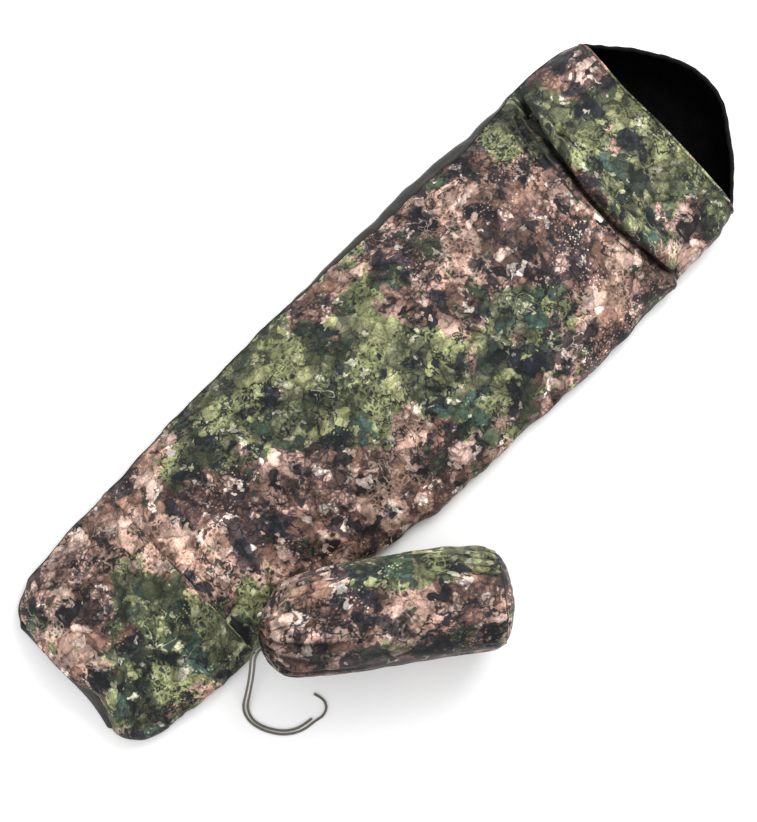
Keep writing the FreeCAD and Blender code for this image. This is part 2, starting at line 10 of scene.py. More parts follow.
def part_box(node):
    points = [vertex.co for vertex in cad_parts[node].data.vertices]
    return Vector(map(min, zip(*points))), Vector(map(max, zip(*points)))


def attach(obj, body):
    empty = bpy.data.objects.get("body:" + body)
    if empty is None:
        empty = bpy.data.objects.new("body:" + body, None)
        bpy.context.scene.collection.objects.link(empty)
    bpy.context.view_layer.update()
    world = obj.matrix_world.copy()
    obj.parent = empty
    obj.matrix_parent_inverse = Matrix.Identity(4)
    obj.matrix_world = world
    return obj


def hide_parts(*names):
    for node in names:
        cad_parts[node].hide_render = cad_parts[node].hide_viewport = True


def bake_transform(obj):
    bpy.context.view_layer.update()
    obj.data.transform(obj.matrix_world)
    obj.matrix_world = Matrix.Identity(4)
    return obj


# Bivy sack with its filled stuff sack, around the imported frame. Metres.
# +Y runs from the foot to the head, +X to the bag's right, +Z up.

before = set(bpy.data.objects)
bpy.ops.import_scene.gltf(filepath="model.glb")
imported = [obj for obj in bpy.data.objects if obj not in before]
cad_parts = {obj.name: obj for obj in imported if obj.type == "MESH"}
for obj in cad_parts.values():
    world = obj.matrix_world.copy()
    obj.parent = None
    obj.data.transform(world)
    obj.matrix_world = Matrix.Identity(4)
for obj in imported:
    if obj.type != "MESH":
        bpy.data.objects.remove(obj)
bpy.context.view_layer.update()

# ---------------------------------------------------------------- camera

VIEW_TURN = math.radians(46.806)
VIEW_RISE = math.radians(80.0)
VIEW_TARGET = Vector((0.0402, -0.0846, 0.0))
VIEW_DISTANCE = 4.864
# picture directions over the floor
AWAY = Vector((-math.sin(VIEW_TURN), math.cos(VIEW_TURN), 0.0))
RIGHT = Vector((math.cos(VIEW_TURN), math.sin(VIEW_TURN), 0.0))


def make_camera():
    data = bpy.data.cameras.new("camera")
    data.lens = 85.0
    data.sensor_width = 36.0
    camera = bpy.data.objects.new("camera", data)
    bpy.context.scene.collection.objects.link(camera)
    back = -AWAY * math.cos(VIEW_RISE) + Vector((0, 0, math.sin(VIEW_RISE)))
    camera.location = VIEW_TARGET + back * VIEW_DISTANCE
    camera.rotation_euler = back.to_track_quat("Z", "Y").to_euler()
    bpy.context.scene.camera = camera


def area_light(name, place, aim, size, power):
    data = bpy.data.lights.new(name, "AREA")
    data.shape = "SQUARE"
    data.size = size
    data.energy = power
    light = bpy.data.objects.new(name, data)
    bpy.context.scene.collection.objects.link(light)
    light.location = place
    light.rotation_euler = (Vector(place) - Vector(aim)).to_track_quat("Z", "Y").to_euler()


def make_studio():
    """Plain soft light on a plain pale floor."""
    middle = Vector((0.1, 0.0, 0.1))
    area_light("key_light", middle + AWAY * 2.4 + RIGHT * 1.8 + Vector((0, 0, 2.9)), middle, 2.6, 130.0)
    area_light("fill_light", middle - AWAY * 2.5 - RIGHT * 1.5 + Vector((0, 0, 3.0)), middle, 3.0, 30.0)
    world = bpy.data.worlds.new("studio")
    bpy.context.scene.world = world
    world.use_nodes = True
    world.node_tree.nodes["Background"].inputs["Color"].default_value = (1, 1, 1, 1)
    world.node_tree.nodes["Background"].inputs["Strength"].default_value = 0.94
    bpy.context.scene.view_settings.view_transform = "Standard"
    half = 7.0
    floor = plain_mesh("floor", [(-half, -half, 0), (half, -half, 0), (half, half, 0), (-half, half, 0)],
                       [(0, 1, 2, 3)])
    floor.data.materials.append(floor_material())


# ---------------------------------------------------------------- materials


def srgb(code):
    """A colour written as in a paint list, for a shader."""
    parts = [int(code[i:i + 2], 16) / 255 for i in (1, 3, 5)]
    return tuple(p / 12.92 if p <= 0.04045 else ((p + 0.055) / 1.055) ** 2.4 for p in parts) + (1.0,)


class Paint:
    """A material's nodes, made one at a time."""

    def __init__(self, name):
        self.material = bpy.data.materials.new(name)
        self.material.use_nodes = True
        self.tree = self.material.node_tree
        self.shader = self.tree.nodes["Principled BSDF"]

    def node(self, kind, **settings):
        node = self.tree.nodes.new(kind)
        for key, value in settings.items():
            setattr(node, key, value)
        return node

    def put(self, value, socket):
        if isinstance(value, bpy.types.NodeSocket):
            self.tree.links.new(value, socket)
        else:
            socket.default_value = value

    def math(self, operation, a, b=0.0):
        node = self.node("ShaderNodeMath", operation=operation)
        self.put(a, node.inputs[0])
        self.put(b, node.inputs[1])
        return node.outputs[0]

    def remap(self, value, low, high, to_low=0.0, to_high=1.0):
        node = self.node("ShaderNodeMapRange", interpolation_type="SMOOTHSTEP")
        self.put(value, node.inputs["Value"])
        for name, number in (("From Min", low), ("From Max", high), ("To Min", to_low), ("To Max", to_high)):
            self.put(number, node.inputs[name])
        return node.outputs["Result"]

    def mix(self, share, a, b, blend="MIX"):
        node = self.node("ShaderNodeMix", data_type="RGBA", blend_type=blend)
        self.put(share, node.inputs["Factor"])
        self.put(a, node.inputs["A"])
        self.put(b, node.inputs["B"])
        return node.outputs["Result"]

    def red(self, colour):
        node = self.node("ShaderNodeSeparateColor")
        self.put(colour, node.inputs["Color"])
        return node.outputs["Red"]

    def shade(self, colour, value):
        """The colour made darker or lighter by a plain number, where 1 leaves it as it is."""
        grey = self.node("ShaderNodeCombineColor")
        for socket in ("Red", "Green", "Blue"):
            self.put(value, grey.inputs[socket])
        return self.mix(1.0, colour, grey.outputs["Color"], "MULTIPLY")

    def shove(self, vector, size, rough, reach, shift):
        """The vector pushed about by noise, so that edges drawn with it come out ragged."""
        node = self.node("ShaderNodeVectorMath", operation="MULTIPLY_ADD")
        self.put(self.noise(vector, size, 3.0, rough, shift=shift, colour=True), node.inputs[0])
        node.inputs[1].default_value = (reach,) * 3
        self.put(vector, node.inputs[2])
        return node.outputs["Vector"]

    def attribute(self, name):
        return self.node("ShaderNodeAttribute", attribute_name=name)

    def uv(self):
        return self.node("ShaderNodeUVMap", uv_map="cloth").outputs["UV"]

    def place(self, vector, shift):
        node = self.node("ShaderNodeMapping")
        self.put(vector, node.inputs["Vector"])
        node.inputs["Location"].default_value = shift
        return node.outputs["Vector"]

    def noise(self, vector, size, detail=2.0, rough=0.5, warp=0.0, shift=0.0, colour=False):
        node = self.node("ShaderNodeTexNoise", noise_dimensions="3D")
        self.put(self.place(vector, (shift * 7.31, shift * 3.77, shift)), node.inputs["Vector"])
        node.inputs["Scale"].default_value = 1.0 / size
        node.inputs["Detail"].default_value = detail
        node.inputs["Roughness"].default_value = rough
        node.inputs["Distortion"].default_value = warp
        return node.outputs["Color" if colour else "Fac"]

    def cells(self, vector, size, feature="F1", shift=0.0):
        node = self.node("ShaderNodeTexVoronoi", feature=feature)
        self.put(self.place(vector, (shift, shift * 2.3, shift)), node.inputs["Vector"])
        node.inputs["Scale"].default_value = 1.0 / size
        return node.outputs

    def wave(self, vector, size, direction, warp=0.0):
        node = self.node("ShaderNodeTexWave", wave_type="BANDS", bands_direction=direction)
        self.put(vector, node.inputs["Vector"])
        node.inputs["Scale"].default_value = math.pi / (10.0 * size)
        node.inputs["Distortion"].default_value = warp
        return node.outputs["Fac"]

    def bump(self, height, depth, under=None):
        node = self.node("ShaderNodeBump")
        self.put(height, node.inputs["Height"])
        node.inputs["Distance"].default_value = depth
        node.inputs["Strength"].default_value = 1.0
        if under is not None:
            self.put(under, node.inputs["Normal"])
        return node.outputs["Normal"]

    def finish(self, colour, rough, normal=None, **constants):
        self.put(colour, self.shader.inputs["Base Color"])
        self.put(rough, self.shader.inputs["Roughness"])
        if normal is not None:
            self.put(normal, self.shader.inputs["Normal"])
        for name, value in constants.items():
            self.shader.inputs[name.replace("_", " ")].default_value = value
        return self.material


def floor_material():
    paint = Paint("pale_floor")
    where = paint.node("ShaderNodeTexCoord").outputs["Object"]
    tone = paint.noise(where, 0.9, 2.0)
    colour = paint.mix(tone, srgb("#f7f7f7"), srgb("#fbfbfb"))
    return paint.finish(colour, 0.7, Specular_IOR_Level=0.2)


THREAD_SPACING = 0.0011
THREAD_DEPTH = 0.00012


def weave(paint, vector, under):
    """Fine plain weave over a coarser bump."""
    across = paint.wave(vector, THREAD_SPACING, "X")
    along = paint.wave(vector, THREAD_SPACING, "Y")
    return paint.bump(paint.math("MULTIPLY", across, along), THREAD_DEPTH, under)


# Printed patches, from the first laid down to the last: patch size, how much of the cloth they
# leave free, their colour on brown ground and on green ground.
PATCHES = (
    (0.120, 0.490, "#8e6e5f", "#6a6b53"),
    (0.090, 0.530, "#b39284", "#7f815d"),
    (0.100, 0.570, "#4b3e3e", "#353d35"),
    (0.062, 0.550, "#806255", "#595d45"),
    (0.072, 0.610, "#49523f", "#45594e"),
    (0.052, 0.585, "#2b2629", "#23292c"),
    (0.046, 0.580, "#c5a89b", "#95976c"),
    (0.030, 0.625, "#d8c6bb", "#b7b79b"),
)
BROWN_GROUND, GREEN_GROUND = "#6a524a", "#4e5340"
INK = "#1b1f27"


def camouflage(paint, cloth, grow, shift, bright):
    """Leafy printed camouflage; grow scales the whole print, shift picks another cut of the cloth,
    bright lightens all of it."""
    ragged = paint.shove(cloth, 0.040 * grow, 0.55, 0.026 * grow, shift + 20)
    bent = paint.shove(cloth, 0.020 * grow, 0.6, 0.016 * grow, shift + 24)

    def field(size, detail, rough, number, warp=0.0, where=ragged):
        """A random field with hills of this size; each number gives another one."""
        return paint.noise(where, size * grow, detail, rough, warp, shift + number)

    def times(a, b):
        return paint.math("MULTIPLY", a, b)

    def line_along(value, level):
        """How far a field is from one level, so that lines can be drawn along its outline."""
        return paint.math("ABSOLUTE", paint.math("SUBTRACT", value, level))

    green_zone = paint.attribute("green_zone").outputs["Fac"]
    patchy = times(field(0.10, 5.0, 0.66, 31), 3.2)
    green = paint.remap(paint.math("ADD", green_zone, patchy), 2.07, 2.14)

    def dye(brown, leaf):
        return paint.mix(green, srgb(brown), srgb(leaf))

    colour = dye(BROWN_GROUND, GREEN_GROUND)
    for layer, (size, free, brown, leaf) in enumerate(PATCHES):
        patch_field = field(size, 3.0, 0.55, layer * 1.7)
        # each patch lies on its own dark rim and lightens towards its middle
        rim = paint.remap(patch_field, free - 0.022, free, 0.0, 0.45)
        colour = paint.mix(rim, colour, srgb(INK))
        patch = paint.remap(patch_field, free, free + 0.008)
        depth = paint.remap(patch_field, free, free + 0.10, 0.80, 1.14)
        colour = paint.mix(patch, colour, paint.shade(dye(brown, leaf), depth))

    # net of scales over parts of the print: dark threads in some places, pale in others
    net_cells = paint.cells(bent, 0.0098 * grow, "DISTANCE_TO_EDGE")["Distance"]
    net = paint.remap(net_cells, 0.08, 0.22, 1.0, 0.0)
    net_field = field(0.095, 2.0, 0.5, 44)
    for low, high, brown, leaf in ((0.53, 0.57, "#33272b", "#3d4733"), (0.45, 0.41, "#c2a08e", "#989d6c")):
        net_share = times(net, paint.remap(net_field, low, high, 0.0, 0.7))
        colour = paint.mix(net_share, colour, dye(brown, leaf))
    dots = paint.remap(paint.cells(cloth, 0.0050 * grow, "F1", 3.0)["Distance"], 0.22, 0.36, 1.0, 0.0)
    dot_zone = paint.remap(field(0.07, 2.0, 0.5, 52), 0.59, 0.63)
    colour = paint.mix(times(times(dots, dot_zone), 0.7), colour, dye("#d0b3a2", "#a5ad74"))

    # dark clefts between the leaves, ink blots, pale veins and pale flecks
    cleft = paint.remap(line_along(field(0.055, 4.0, 0.6, 61), 0.5), 0.008, 0.022, 0.9, 0.0)
    cleft_zone = paint.remap(field(0.16, 2.0, 0.5, 66), 0.42, 0.52)
    colour = paint.mix(times(cleft, cleft_zone), colour, srgb(INK))
    blot = paint.remap(field(0.085, 5.0, 0.62, 71), 0.575, 0.625, 0.0, 0.92)
    colour = paint.mix(blot, colour, srgb(INK))
    vein = paint.remap(line_along(field(0.06, 3.0, 0.55, 81, 0.2), 0.53), 0.003, 0.014, 0.5, 0.0)
    vein_zone = paint.remap(field(0.12, 2.0, 0.5, 86, where=cloth), 0.57, 0.64)
    colour = paint.mix(times(vein, vein_zone), colour, dye("#d6c6b8", "#bcc096"))
    fleck = paint.remap(field(0.038, 3.0, 0.6, 91), 0.662, 0.690, 0.0, 0.6)
    colour = paint.mix(fleck, colour, srgb("#d8cfc4"))

    # painted leaves and petals: each lighter on one flank, with a dark line round it
    for size, low, high, line in ((0.032, 0.66, 1.42, 0.60), (0.015, 0.84, 1.20, 0.80)):
        leaf = paint.cells(bent, size * grow, "F1", size)
        flank = paint.remap(paint.red(leaf["Color"]), 0.2, 0.8, low, high)
        edge = paint.cells(bent, size * grow, "DISTANCE_TO_EDGE", size)["Distance"]
        outline = paint.remap(edge, 0.01, 0.13, line, 1.0)
        colour = paint.shade(colour, times(flank, outline))
    # light from one side, found from the same field a little further on
    beside = paint.place(ragged, (0.006 * grow, 0.005 * grow, 0))
    slope = paint.math("SUBTRACT", field(0.034, 2.0, 0.5, 5), field(0.034, 2.0, 0.5, 5, where=beside))
    colour = paint.shade(colour, paint.remap(slope, -0.12, 0.12, 0.76, 1.22))
    # printing screen: fine speckle in every patch
    speckle = paint.noise(cloth, 0.0050, 2.0, 0.6, shift=shift + 5)
    screen = paint.remap(speckle, 0.30, 0.70, 0.74, 1.22)
    # painted shade darkens the cloth along the bottom of its folds and in its hollows, by the shade value
    # stored on each point
    fold = paint.remap(paint.attribute("painted_shade").outputs["Fac"], 0.0, 1.0, 1.0, 0.16)
    # the green part of the print is a little darker, and the painted shade of the folds darkens all of it
    dye_and_shade = times(paint.remap(green, 0.0, 1.0, bright, 0.87 * bright), fold)
    return paint.shade(colour, times(screen, dye_and_shade))


def camo_material(name, grow, shift, bright):
    paint = Paint(name)
    cloth = paint.uv()
    colour = camouflage(paint, cloth, grow, shift, bright)
    crumple = paint.bump(paint.noise(cloth, 0.022, 4.0, 0.55, 0.3), 0.0035)
    threads = weave(paint, cloth, crumple)
    rough = paint.remap(paint.noise(cloth, 0.05, 3.0), 0.3, 0.7, 0.50, 0.66)
    return paint.finish(colour, rough, threads, Sheen_Weight=0.04, Sheen_Roughness=0.5,
                        Specular_IOR_Level=0.18)


def plain_cloth(name, low, high, rough_low, rough_high, sheen, specular=0.35, crumple_depth=0.003):
    paint = Paint(name)
    cloth = paint.uv()
    tone = paint.noise(cloth, 0.05, 4.0, 0.6)
    colour = paint.mix(paint.remap(tone, 0.3, 0.7), srgb(low), srgb(high))
    crumple = paint.bump(paint.noise(cloth, 0.03, 4.0, 0.55, 0.4), crumple_depth)
    threads = weave(paint, cloth, crumple)
    rough = paint.remap(paint.noise(cloth, 0.04, 3.0), 0.3, 0.7, rough_low, rough_high)
    return paint.finish(colour, rough, threads, Sheen_Weight=sheen, Specular_IOR_Level=specular)


# ---------------------------------------------------------------- meshes


def plain_mesh(name, points, faces):
    mesh = bpy.data.meshes.new(name)
    mesh.from_pydata([tuple(map(float, p)) for p in points], [], faces)
    mesh.update()
    piece = bpy.data.objects.new(name, mesh)
    bpy.context.scene.collection.objects.link(piece)
    return piece


def grid_piece(name, grid, cloth, zone=None, closed=False, keep=None, painted_shade=None):
    """A smooth sheet through a grid of points, with its cloth coordinates in metres."""
    rows, columns = grid.shape[:2]
    faces = []
    corners = []
    last = columns if closed else columns - 1
    for i in range(rows - 1):
        for j in range(last):
            k = (j + 1) % columns
            if keep is not None and not keep(i, j):
                continue
            faces.append((i * columns + j, i * columns + k, (i + 1) * columns + k, (i + 1) * columns + j))
            corners.append(((i, j), (i, j + 1), (i + 1, j + 1), (i + 1, j)))
    piece = plain_mesh(name, grid.reshape(-1, 3), faces)
    layer = piece.data.uv_layers.new(name="cloth")
    flat = np.array([cloth[i, j] for face in corners for i, j in face], float)
    layer.data.foreach_set("uv", flat.ravel())
    write_fields(piece, zone, painted_shade)
    smooth_shaded(piece)
    return piece


def write_fields(piece, zone, painted_shade):
    """Store on each point how green the print is there, and how much painted shade it takes, most in its
    creases.
    """
    for name, field in (("green_zone", zone), ("painted_shade", painted_shade)):
        if field is not None:
            values = piece.data.attributes.new(name, "FLOAT", "POINT")
            values.data.foreach_set("value", field.ravel().astype(np.float32))


def smooth_shaded(piece):
    for polygon in piece.data.polygons:
        polygon.use_smooth = True


def read_points(mesh):
    points = np.zeros(len(mesh.vertices) * 3)
    mesh.vertices.foreach_get("co", points)
    return points.reshape(-1, 3)


def reworked(piece, *changes):
    """Make some changes to the piece's faces and points, in the form that Blender edits them in."""
    shape = bmesh.new()
    shape.from_mesh(piece.data)
    for change in changes:
        change(shape)
    shape.to_mesh(piece.data)
    shape.free()


def drop_loose(shape):
    bmesh.ops.delete(shape, geom=[v for v in shape.verts if not v.link_faces], context="VERTS")


def join_doubles(shape):
    bmesh.ops.remove_doubles(shape, verts=shape.verts, dist=0.00002)


def turn_outwards(shape):
    bmesh.ops.recalc_face_normals(shape, faces=shape.faces)


def weld(piece):
    """Close a grid whose first and last points fall together."""
    reworked(piece, join_doubles, drop_loose, turn_outwards)


def modified(piece, kind, **settings):
    """Add a modifier and apply it."""
    modifier = piece.modifiers.new(kind.lower(), kind)
    for key, value in settings.items():
        setattr(modifier, key, value)
    with bpy.context.temp_override(object=piece, active_object=piece, selected_objects=[piece]):
        bpy.ops.object.modifier_apply(modifier=modifier.name)


LATTICE = 32  # points along each side of the table of random numbers, which then repeats


def lumps(points, size, seed):
    """Smooth random field from about -1 to 1, with hills of the given size."""
    table = np.random.default_rng(seed).uniform(-1.0, 1.0, (LATTICE,) * 3).astype(np.float32)
    place = np.asarray(points, float) / size + 100.0
    base = np.floor(place).astype(int)
    part = smooth(place - base, 0.0, 1.0)
    total = np.zeros(place.shape[:-1])
    for corner in np.ndindex(2, 2, 2):
        a, b, c = [part[..., k] if corner[k] else 1 - part[..., k] for k in range(3)]
        cell = (base + corner) % LATTICE
        total += a * b * c * table[cell[..., 0], cell[..., 1], cell[..., 2]]
    return total


def hills(seed, *parts):
    """The same field at places given part by part, already divided by the size of the hills."""
    return lumps(np.stack(np.broadcast_arrays(*parts), axis=-1), 1.0, seed)


def smooth(value, low, high):
    """0 below low, 1 above high, and a soft step between them."""
    part = np.clip((value - low) / (high - low), 0.0, 1.0)
    return part * part * (3 - 2 * part)


def bell(value, reach):
    """1 where the value is 0, falling away softly on both sides."""
    return np.exp(-(value / reach) ** 2)


def unit(vectors):
    return vectors / np.maximum(np.linalg.norm(vectors, axis=-1, keepdims=True), 1e-9)


def grid_normals(grid):
    """Outward normals of a sheet whose columns run from left to right over the top."""
    along = np.gradient(grid, axis=0)
    across = np.gradient(grid, axis=1)
    return unit(np.cross(across, along))


def arc_lengths(line):
    steps = np.linalg.norm(np.diff(line, axis=0), axis=1)
    return np.concatenate([[0.0], np.cumsum(steps)])


def read_off(wanted, place, values):
    """Every column of the values, read off at the wanted places."""
    return np.stack([np.interp(wanted, place, column) for column in values.T], axis=-1)


def evenly(line, count):
    """The line with the given number of points, evenly spaced."""
    place = arc_lengths(line)
    return read_off(np.linspace(0.0, place[-1], count), place, line)


def spread(values, count):
    """The rows of some values, thinned or filled in to another count."""
    return read_off(np.linspace(0, 1, count), np.linspace(0, 1, len(values)), values)


def node_tree(*names):
    """Search tree over CAD nodes, and the node of each of its faces."""
    points, faces, owners = [], [], []
    for name in names:
        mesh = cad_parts[name].data
        start = len(points)
        points += [v.co.copy() for v in mesh.vertices]
        for polygon in mesh.polygons:
            faces.append([start + v for v in polygon.vertices])
            owners.append(name)
    return BVHTree.FromPolygons(points, faces), owners


# ---------------------------------------------------------------- the bag's outline

bag_tree, bag_owner = node_tree(
    "ground_sheet", "top_panel", "foot_panel", "foot_seam_tape", "hood_band", "mouth_hem",
    "left_side_seam", "right_side_seam", "zip_tape_lower", "zip_tape_upper",
)


def middle(node):
    low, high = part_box(node)
    return (low + high) / 2


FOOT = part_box("foot_panel")[0].y
FOOT_SEAM = middle("foot_seam_tape").y
ZIP = middle("zip_coil_lower").y
SLOT = 0.010
ZIP_HALF = 0.235
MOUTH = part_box("mouth_hem")[1].y
LEFT_SEAM_SAG = math.radians(5.0)
LEFT_SAG_PLACE = -0.25
RIGHT_SEAM_TUCK = math.radians(3.5)
STEP = 0.0115
COLUMNS = 68
GROUND_COLUMNS = 56


def bag_section(y):
    """Outer outline of the bag at y, split at its two side seams: the upper and the lower line."""
    hits = []
    centre = Vector((0.0, y, 0.055))
    for angle in np.linspace(0.0, 2 * math.pi, 720, endpoint=False):
        ray = Vector((-math.sin(angle), 0.0, -math.cos(angle)))
        place, _, index, _ = bag_tree.ray_cast(centre + ray, -ray, 1.0)
        if place is not None:
            hits.append((np.array(place), bag_owner[index], angle))
    under = [a for _, owner, a in hits if owner == "ground_sheet"]
    over = [a for _, owner, a in hits if owner != "ground_sheet" and "side_seam" not in owner]
    seam = {
        "left": (max(a for a in under if a < math.pi) + min(over)) / 2,
        "right": (min(a for a in under if a > math.pi) + max(over)) / 2,
    }
    # the left seam sags outwards between the foot and the chest; the right one is tucked under
    seam["right"] += RIGHT_SEAM_TUCK
    seam["left"] -= LEFT_SEAM_SAG * math.exp(-((y - LEFT_SAG_PLACE) / 0.55) ** 2)
    upper = np.array([p for p, _, a in hits if seam["left"] <= a <= seam["right"]])
    lower = [p for p, _, a in hits if a >= seam["right"]] + [p for p, _, a in hits if a <= seam["left"]]
    return evenly(upper, COLUMNS), evenly(np.array(lower), GROUND_COLUMNS)


def stretch(start, end, step=STEP):
    return list(np.linspace(start, end, max(2, round(abs(end - start) / step)) + 1))


def bag_places():
    """Where the rows of the bag's cloth lie, so that a row falls on each seam."""
    marks = [
        ("foot_seam", FOOT_SEAM, STEP), ("fold", 0.585, STEP), ("slot_low", ZIP - SLOT, STEP / 3),
        ("zip", ZIP, STEP / 2), ("slot_high", ZIP + SLOT, STEP / 2), ("mouth", MOUTH - 0.0005, STEP),
    ]
    places = [FOOT + 0.0005]
    rows = {}
    for name, end, step in marks:
        places += stretch(places[-1], end, step)[1:]
        rows[name] = len(places) - 1
    return places, rows


END_ROWS = 6
FOOT_LENS = 0.105  # across the foot end, where the ground cloth shows most


def foot_end_seam(end):
    """The seam over the foot end, high on its wall, so that the ground cloth shows below it."""
    row = end.copy()
    level = np.linspace(end[0, 2], end[-1, 2], len(end))
    row[:, 2] = level + (end[:, 2] - level) * (0.72 + 0.16 * foot_lens(end[:, 0])) * off_corner(end[:, 0])
    return row


def foot_lens(x):
    return bell(x - FOOT_LENS, 0.070)


def off_corner(x):
    return smooth(0.19 - np.abs(x), 0.0, 0.05)


def drawn_back(upper):
    """The top cloth is drawn back from the foot end, most where the ground cloth bulges."""
    upper = upper.copy()
    x, y = upper[..., 0], upper[..., 1]
    back = (0.007 + 0.024 * foot_lens(x)) * off_corner(x)
    upper[..., 1] += back * np.exp(-(y - FOOT) / 0.036)
    return upper


def bag_grids():
    """The upper and lower cloth as grids. The first rows close the foot end down to the seam."""
    places, rows = bag_places()
    uppers, lowers = zip(*[bag_section(y) for y in places])
    upper, lower = np.array(uppers), np.array(lowers)
    seam = foot_end_seam(upper[0])
    shares = np.linspace(0.0, 1.0, END_ROWS, endpoint=False)
    end_rows = [seam + (upper[0] - seam) * share for share in shares]
    upper = drawn_back(np.concatenate([np.array(end_rows), upper]))
    # round the corners of the edge that both cloths share
    reach = END_ROWS + 8
    edge = np.concatenate([upper[reach:0:-1, 0], upper[0], upper[1:reach + 1, -1]])
    for _ in range(45):
        edge[1:-1] = (edge[:-2] + 2 * edge[1:-1] + edge[2:]) / 4
    upper[reach:0:-1, 0], upper[0], upper[1:reach + 1, -1] = edge[:reach], edge[reach:-reach], edge[-reach:]
    # the lower line runs from right to left under the bag
    top_edge = evenly(upper[0][::-1], GROUND_COLUMNS)
    low_rows = []
    for share in shares:
        row = top_edge + (lower[0] - top_edge) * share
        row[:, 1] -= 0.007 * math.sin(math.pi * share)
        low_rows.append(row)
    lower = np.concatenate([np.array(low_rows), lower])
    lower[:, 0], lower[1:, -1] = upper[:, -1], upper[1:, 0]
    rows = {name: row + END_ROWS for name, row in rows.items()}
    return upper, lower, rows


def lean(grid):
    """The bag as it lies: drawn a little to the left at the chest, its left mouth corner pulled up."""
    grid = grid.copy()
    x, y = grid[..., 0].copy(), grid[..., 1].copy()
    grid[..., 0] -= 0.007 * smooth(y, 0.15, 0.85) * smooth(1.2 - y, 0.1, 0.35)
    grid[..., 1] += 0.024 * smooth(-x, 0.08, 0.31) * smooth(y, 0.76, 0.90)
    grid[..., 1] += 0.009 * smooth(-y, 0.90, 1.10)
    grid[..., 0] += 0.010 * smooth(-x, 0.10, 0.26) * smooth(-y, 0.60, 0.85)
    grid[..., 0] += 0.014 * smooth(x, 0.10, 0.28) * smooth(y, -0.26, -0.12) * smooth(1.10 - y, 0.0, 0.20)
    grid[..., 0] -= 0.014 * smooth(x, 0.10, 0.28) * smooth(y, 0.62, 0.76) * smooth(1.02 - y, 0.0, 0.06)
    grid[..., 0] += 0.006 * smooth(x, 0.15, 0.30) * smooth(y, 0.20, 0.55)
    grid[..., 0] += 0.012 * smooth(-x, 0.12, 0.28) * smooth(-y, 0.84, 0.96) * smooth(1.09 + y, 0.0, 0.05)
    reach = smooth(x, 0.06, 0.22) * smooth(-y, 0.95, 1.09)
    grid[..., 1] -= 0.014 * reach
    grid[..., 0] += 0.008 * reach
    # the edges of the stuffed cloth wander a little
    wander = hills(61, 0, y / 0.055, 3 * np.sign(x))
    grid[..., 0] += 0.0035 * wander * smooth(np.abs(x), 0.16, 0.29) * smooth(1.0 - np.abs(y), 0.02, 0.12)
    return grid


def relaxed(grid, first, last, rounds, share=0.5):
    """Round off the corners of some rows, with the sheet's edges held."""
    grid = grid.copy()
    for _ in range(rounds):
        moved = grid.copy()
        inner = (grid[:-2, 1:-1] + grid[2:, 1:-1] + grid[1:-1, :-2] + grid[1:-1, 2:]) / 4
        moved[1:-1, 1:-1] += (inner - grid[1:-1, 1:-1]) * share
        grid[first:last] = moved[first:last]
    return grid


# Where on the printed cloth each piece is cut out, in metres.
FOOT_CUT = (0.71, 3.37)
BAND_CUT = (0.37, 1.53)
SACK_CUT = (1.9, 0.4)
DISC_CUT = (3.1, 0.9)
COLLAR_CUT = (0.3, 4.4)


def cloth_flat(grid, cut=(0.0, 0.0)):
    """Cloth coordinates: across from the middle column, along the middle column."""
    rows, columns = grid.shape[:2]
    flat = np.zeros((rows, columns + 1, 2))
    along = arc_lengths(grid[:, columns // 2])
    for i in range(rows):
        across = arc_lengths(grid[i])
        across = across - across[columns // 2]
        flat[i, :columns, 0] = across
        flat[i, :columns, 1] = along[i]
        flat[i, columns] = flat[i, columns - 1] + (across[-1] - across[-2], 0)
    return flat + np.array(cut)


def cloth_places(across, along, cut=(0.0, 0.0)):
    """Cloth coordinates from two arrays that are spread over the grid."""
    return np.stack(np.broadcast_arrays(across, along), axis=-1) + np.array(cut)


# Where the print is greener (positive) or browner (negative): across, along, reach, amount.
GREEN_PATCHES = (
    (0.02, 0.80, 0.20, 0.50), (-0.26, 0.86, 0.07, -0.60), (0.27, 0.72, 0.08, -0.60),
    (-0.24, 0.64, 0.10, 0.45), (-0.04, 0.55, 0.17, -0.55), (0.18, 0.58, 0.12, -0.25),
    (-0.05, 0.40, 0.15, -0.50), (0.20, 0.34, 0.12, 0.30), (-0.17, 0.26, 0.13, -0.45),
    (0.05, 0.10, 0.16, 0.15), (-0.02, -0.04, 0.15, 0.40), (0.24, -0.13, 0.11, -0.55),
    (-0.13, -0.22, 0.17, 0.55), (0.10, -0.36, 0.14, -0.60), (-0.20, -0.46, 0.11, 0.50),
    (0.06, -0.56, 0.17, -0.55), (-0.12, -0.68, 0.13, -0.40), (0.21, -0.74, 0.09, 0.50),
    (0.11, -0.83, 0.11, 0.55), (-0.17, -0.93, 0.15, -0.55), (0.20, -0.97, 0.10, 0.50),
    (0.02, -1.05, 0.10, -0.20),
)


def green_zone(grid):
    zone = np.full(grid.shape[:2], 0.44)
    for x, y, reach, amount in GREEN_PATCHES:
        away = (grid[..., 0] - x) ** 2 + (grid[..., 1] - y) ** 2
        zone += amount * np.exp(-away / reach ** 2)
    return zone


# ---------------------------------------------------------------- cloth


CLOTH_STIFFNESS = 12.0
CLOTH_BENDING = 0.8
CLOTH_GAP = 0.002  # kept between the cloth and the form


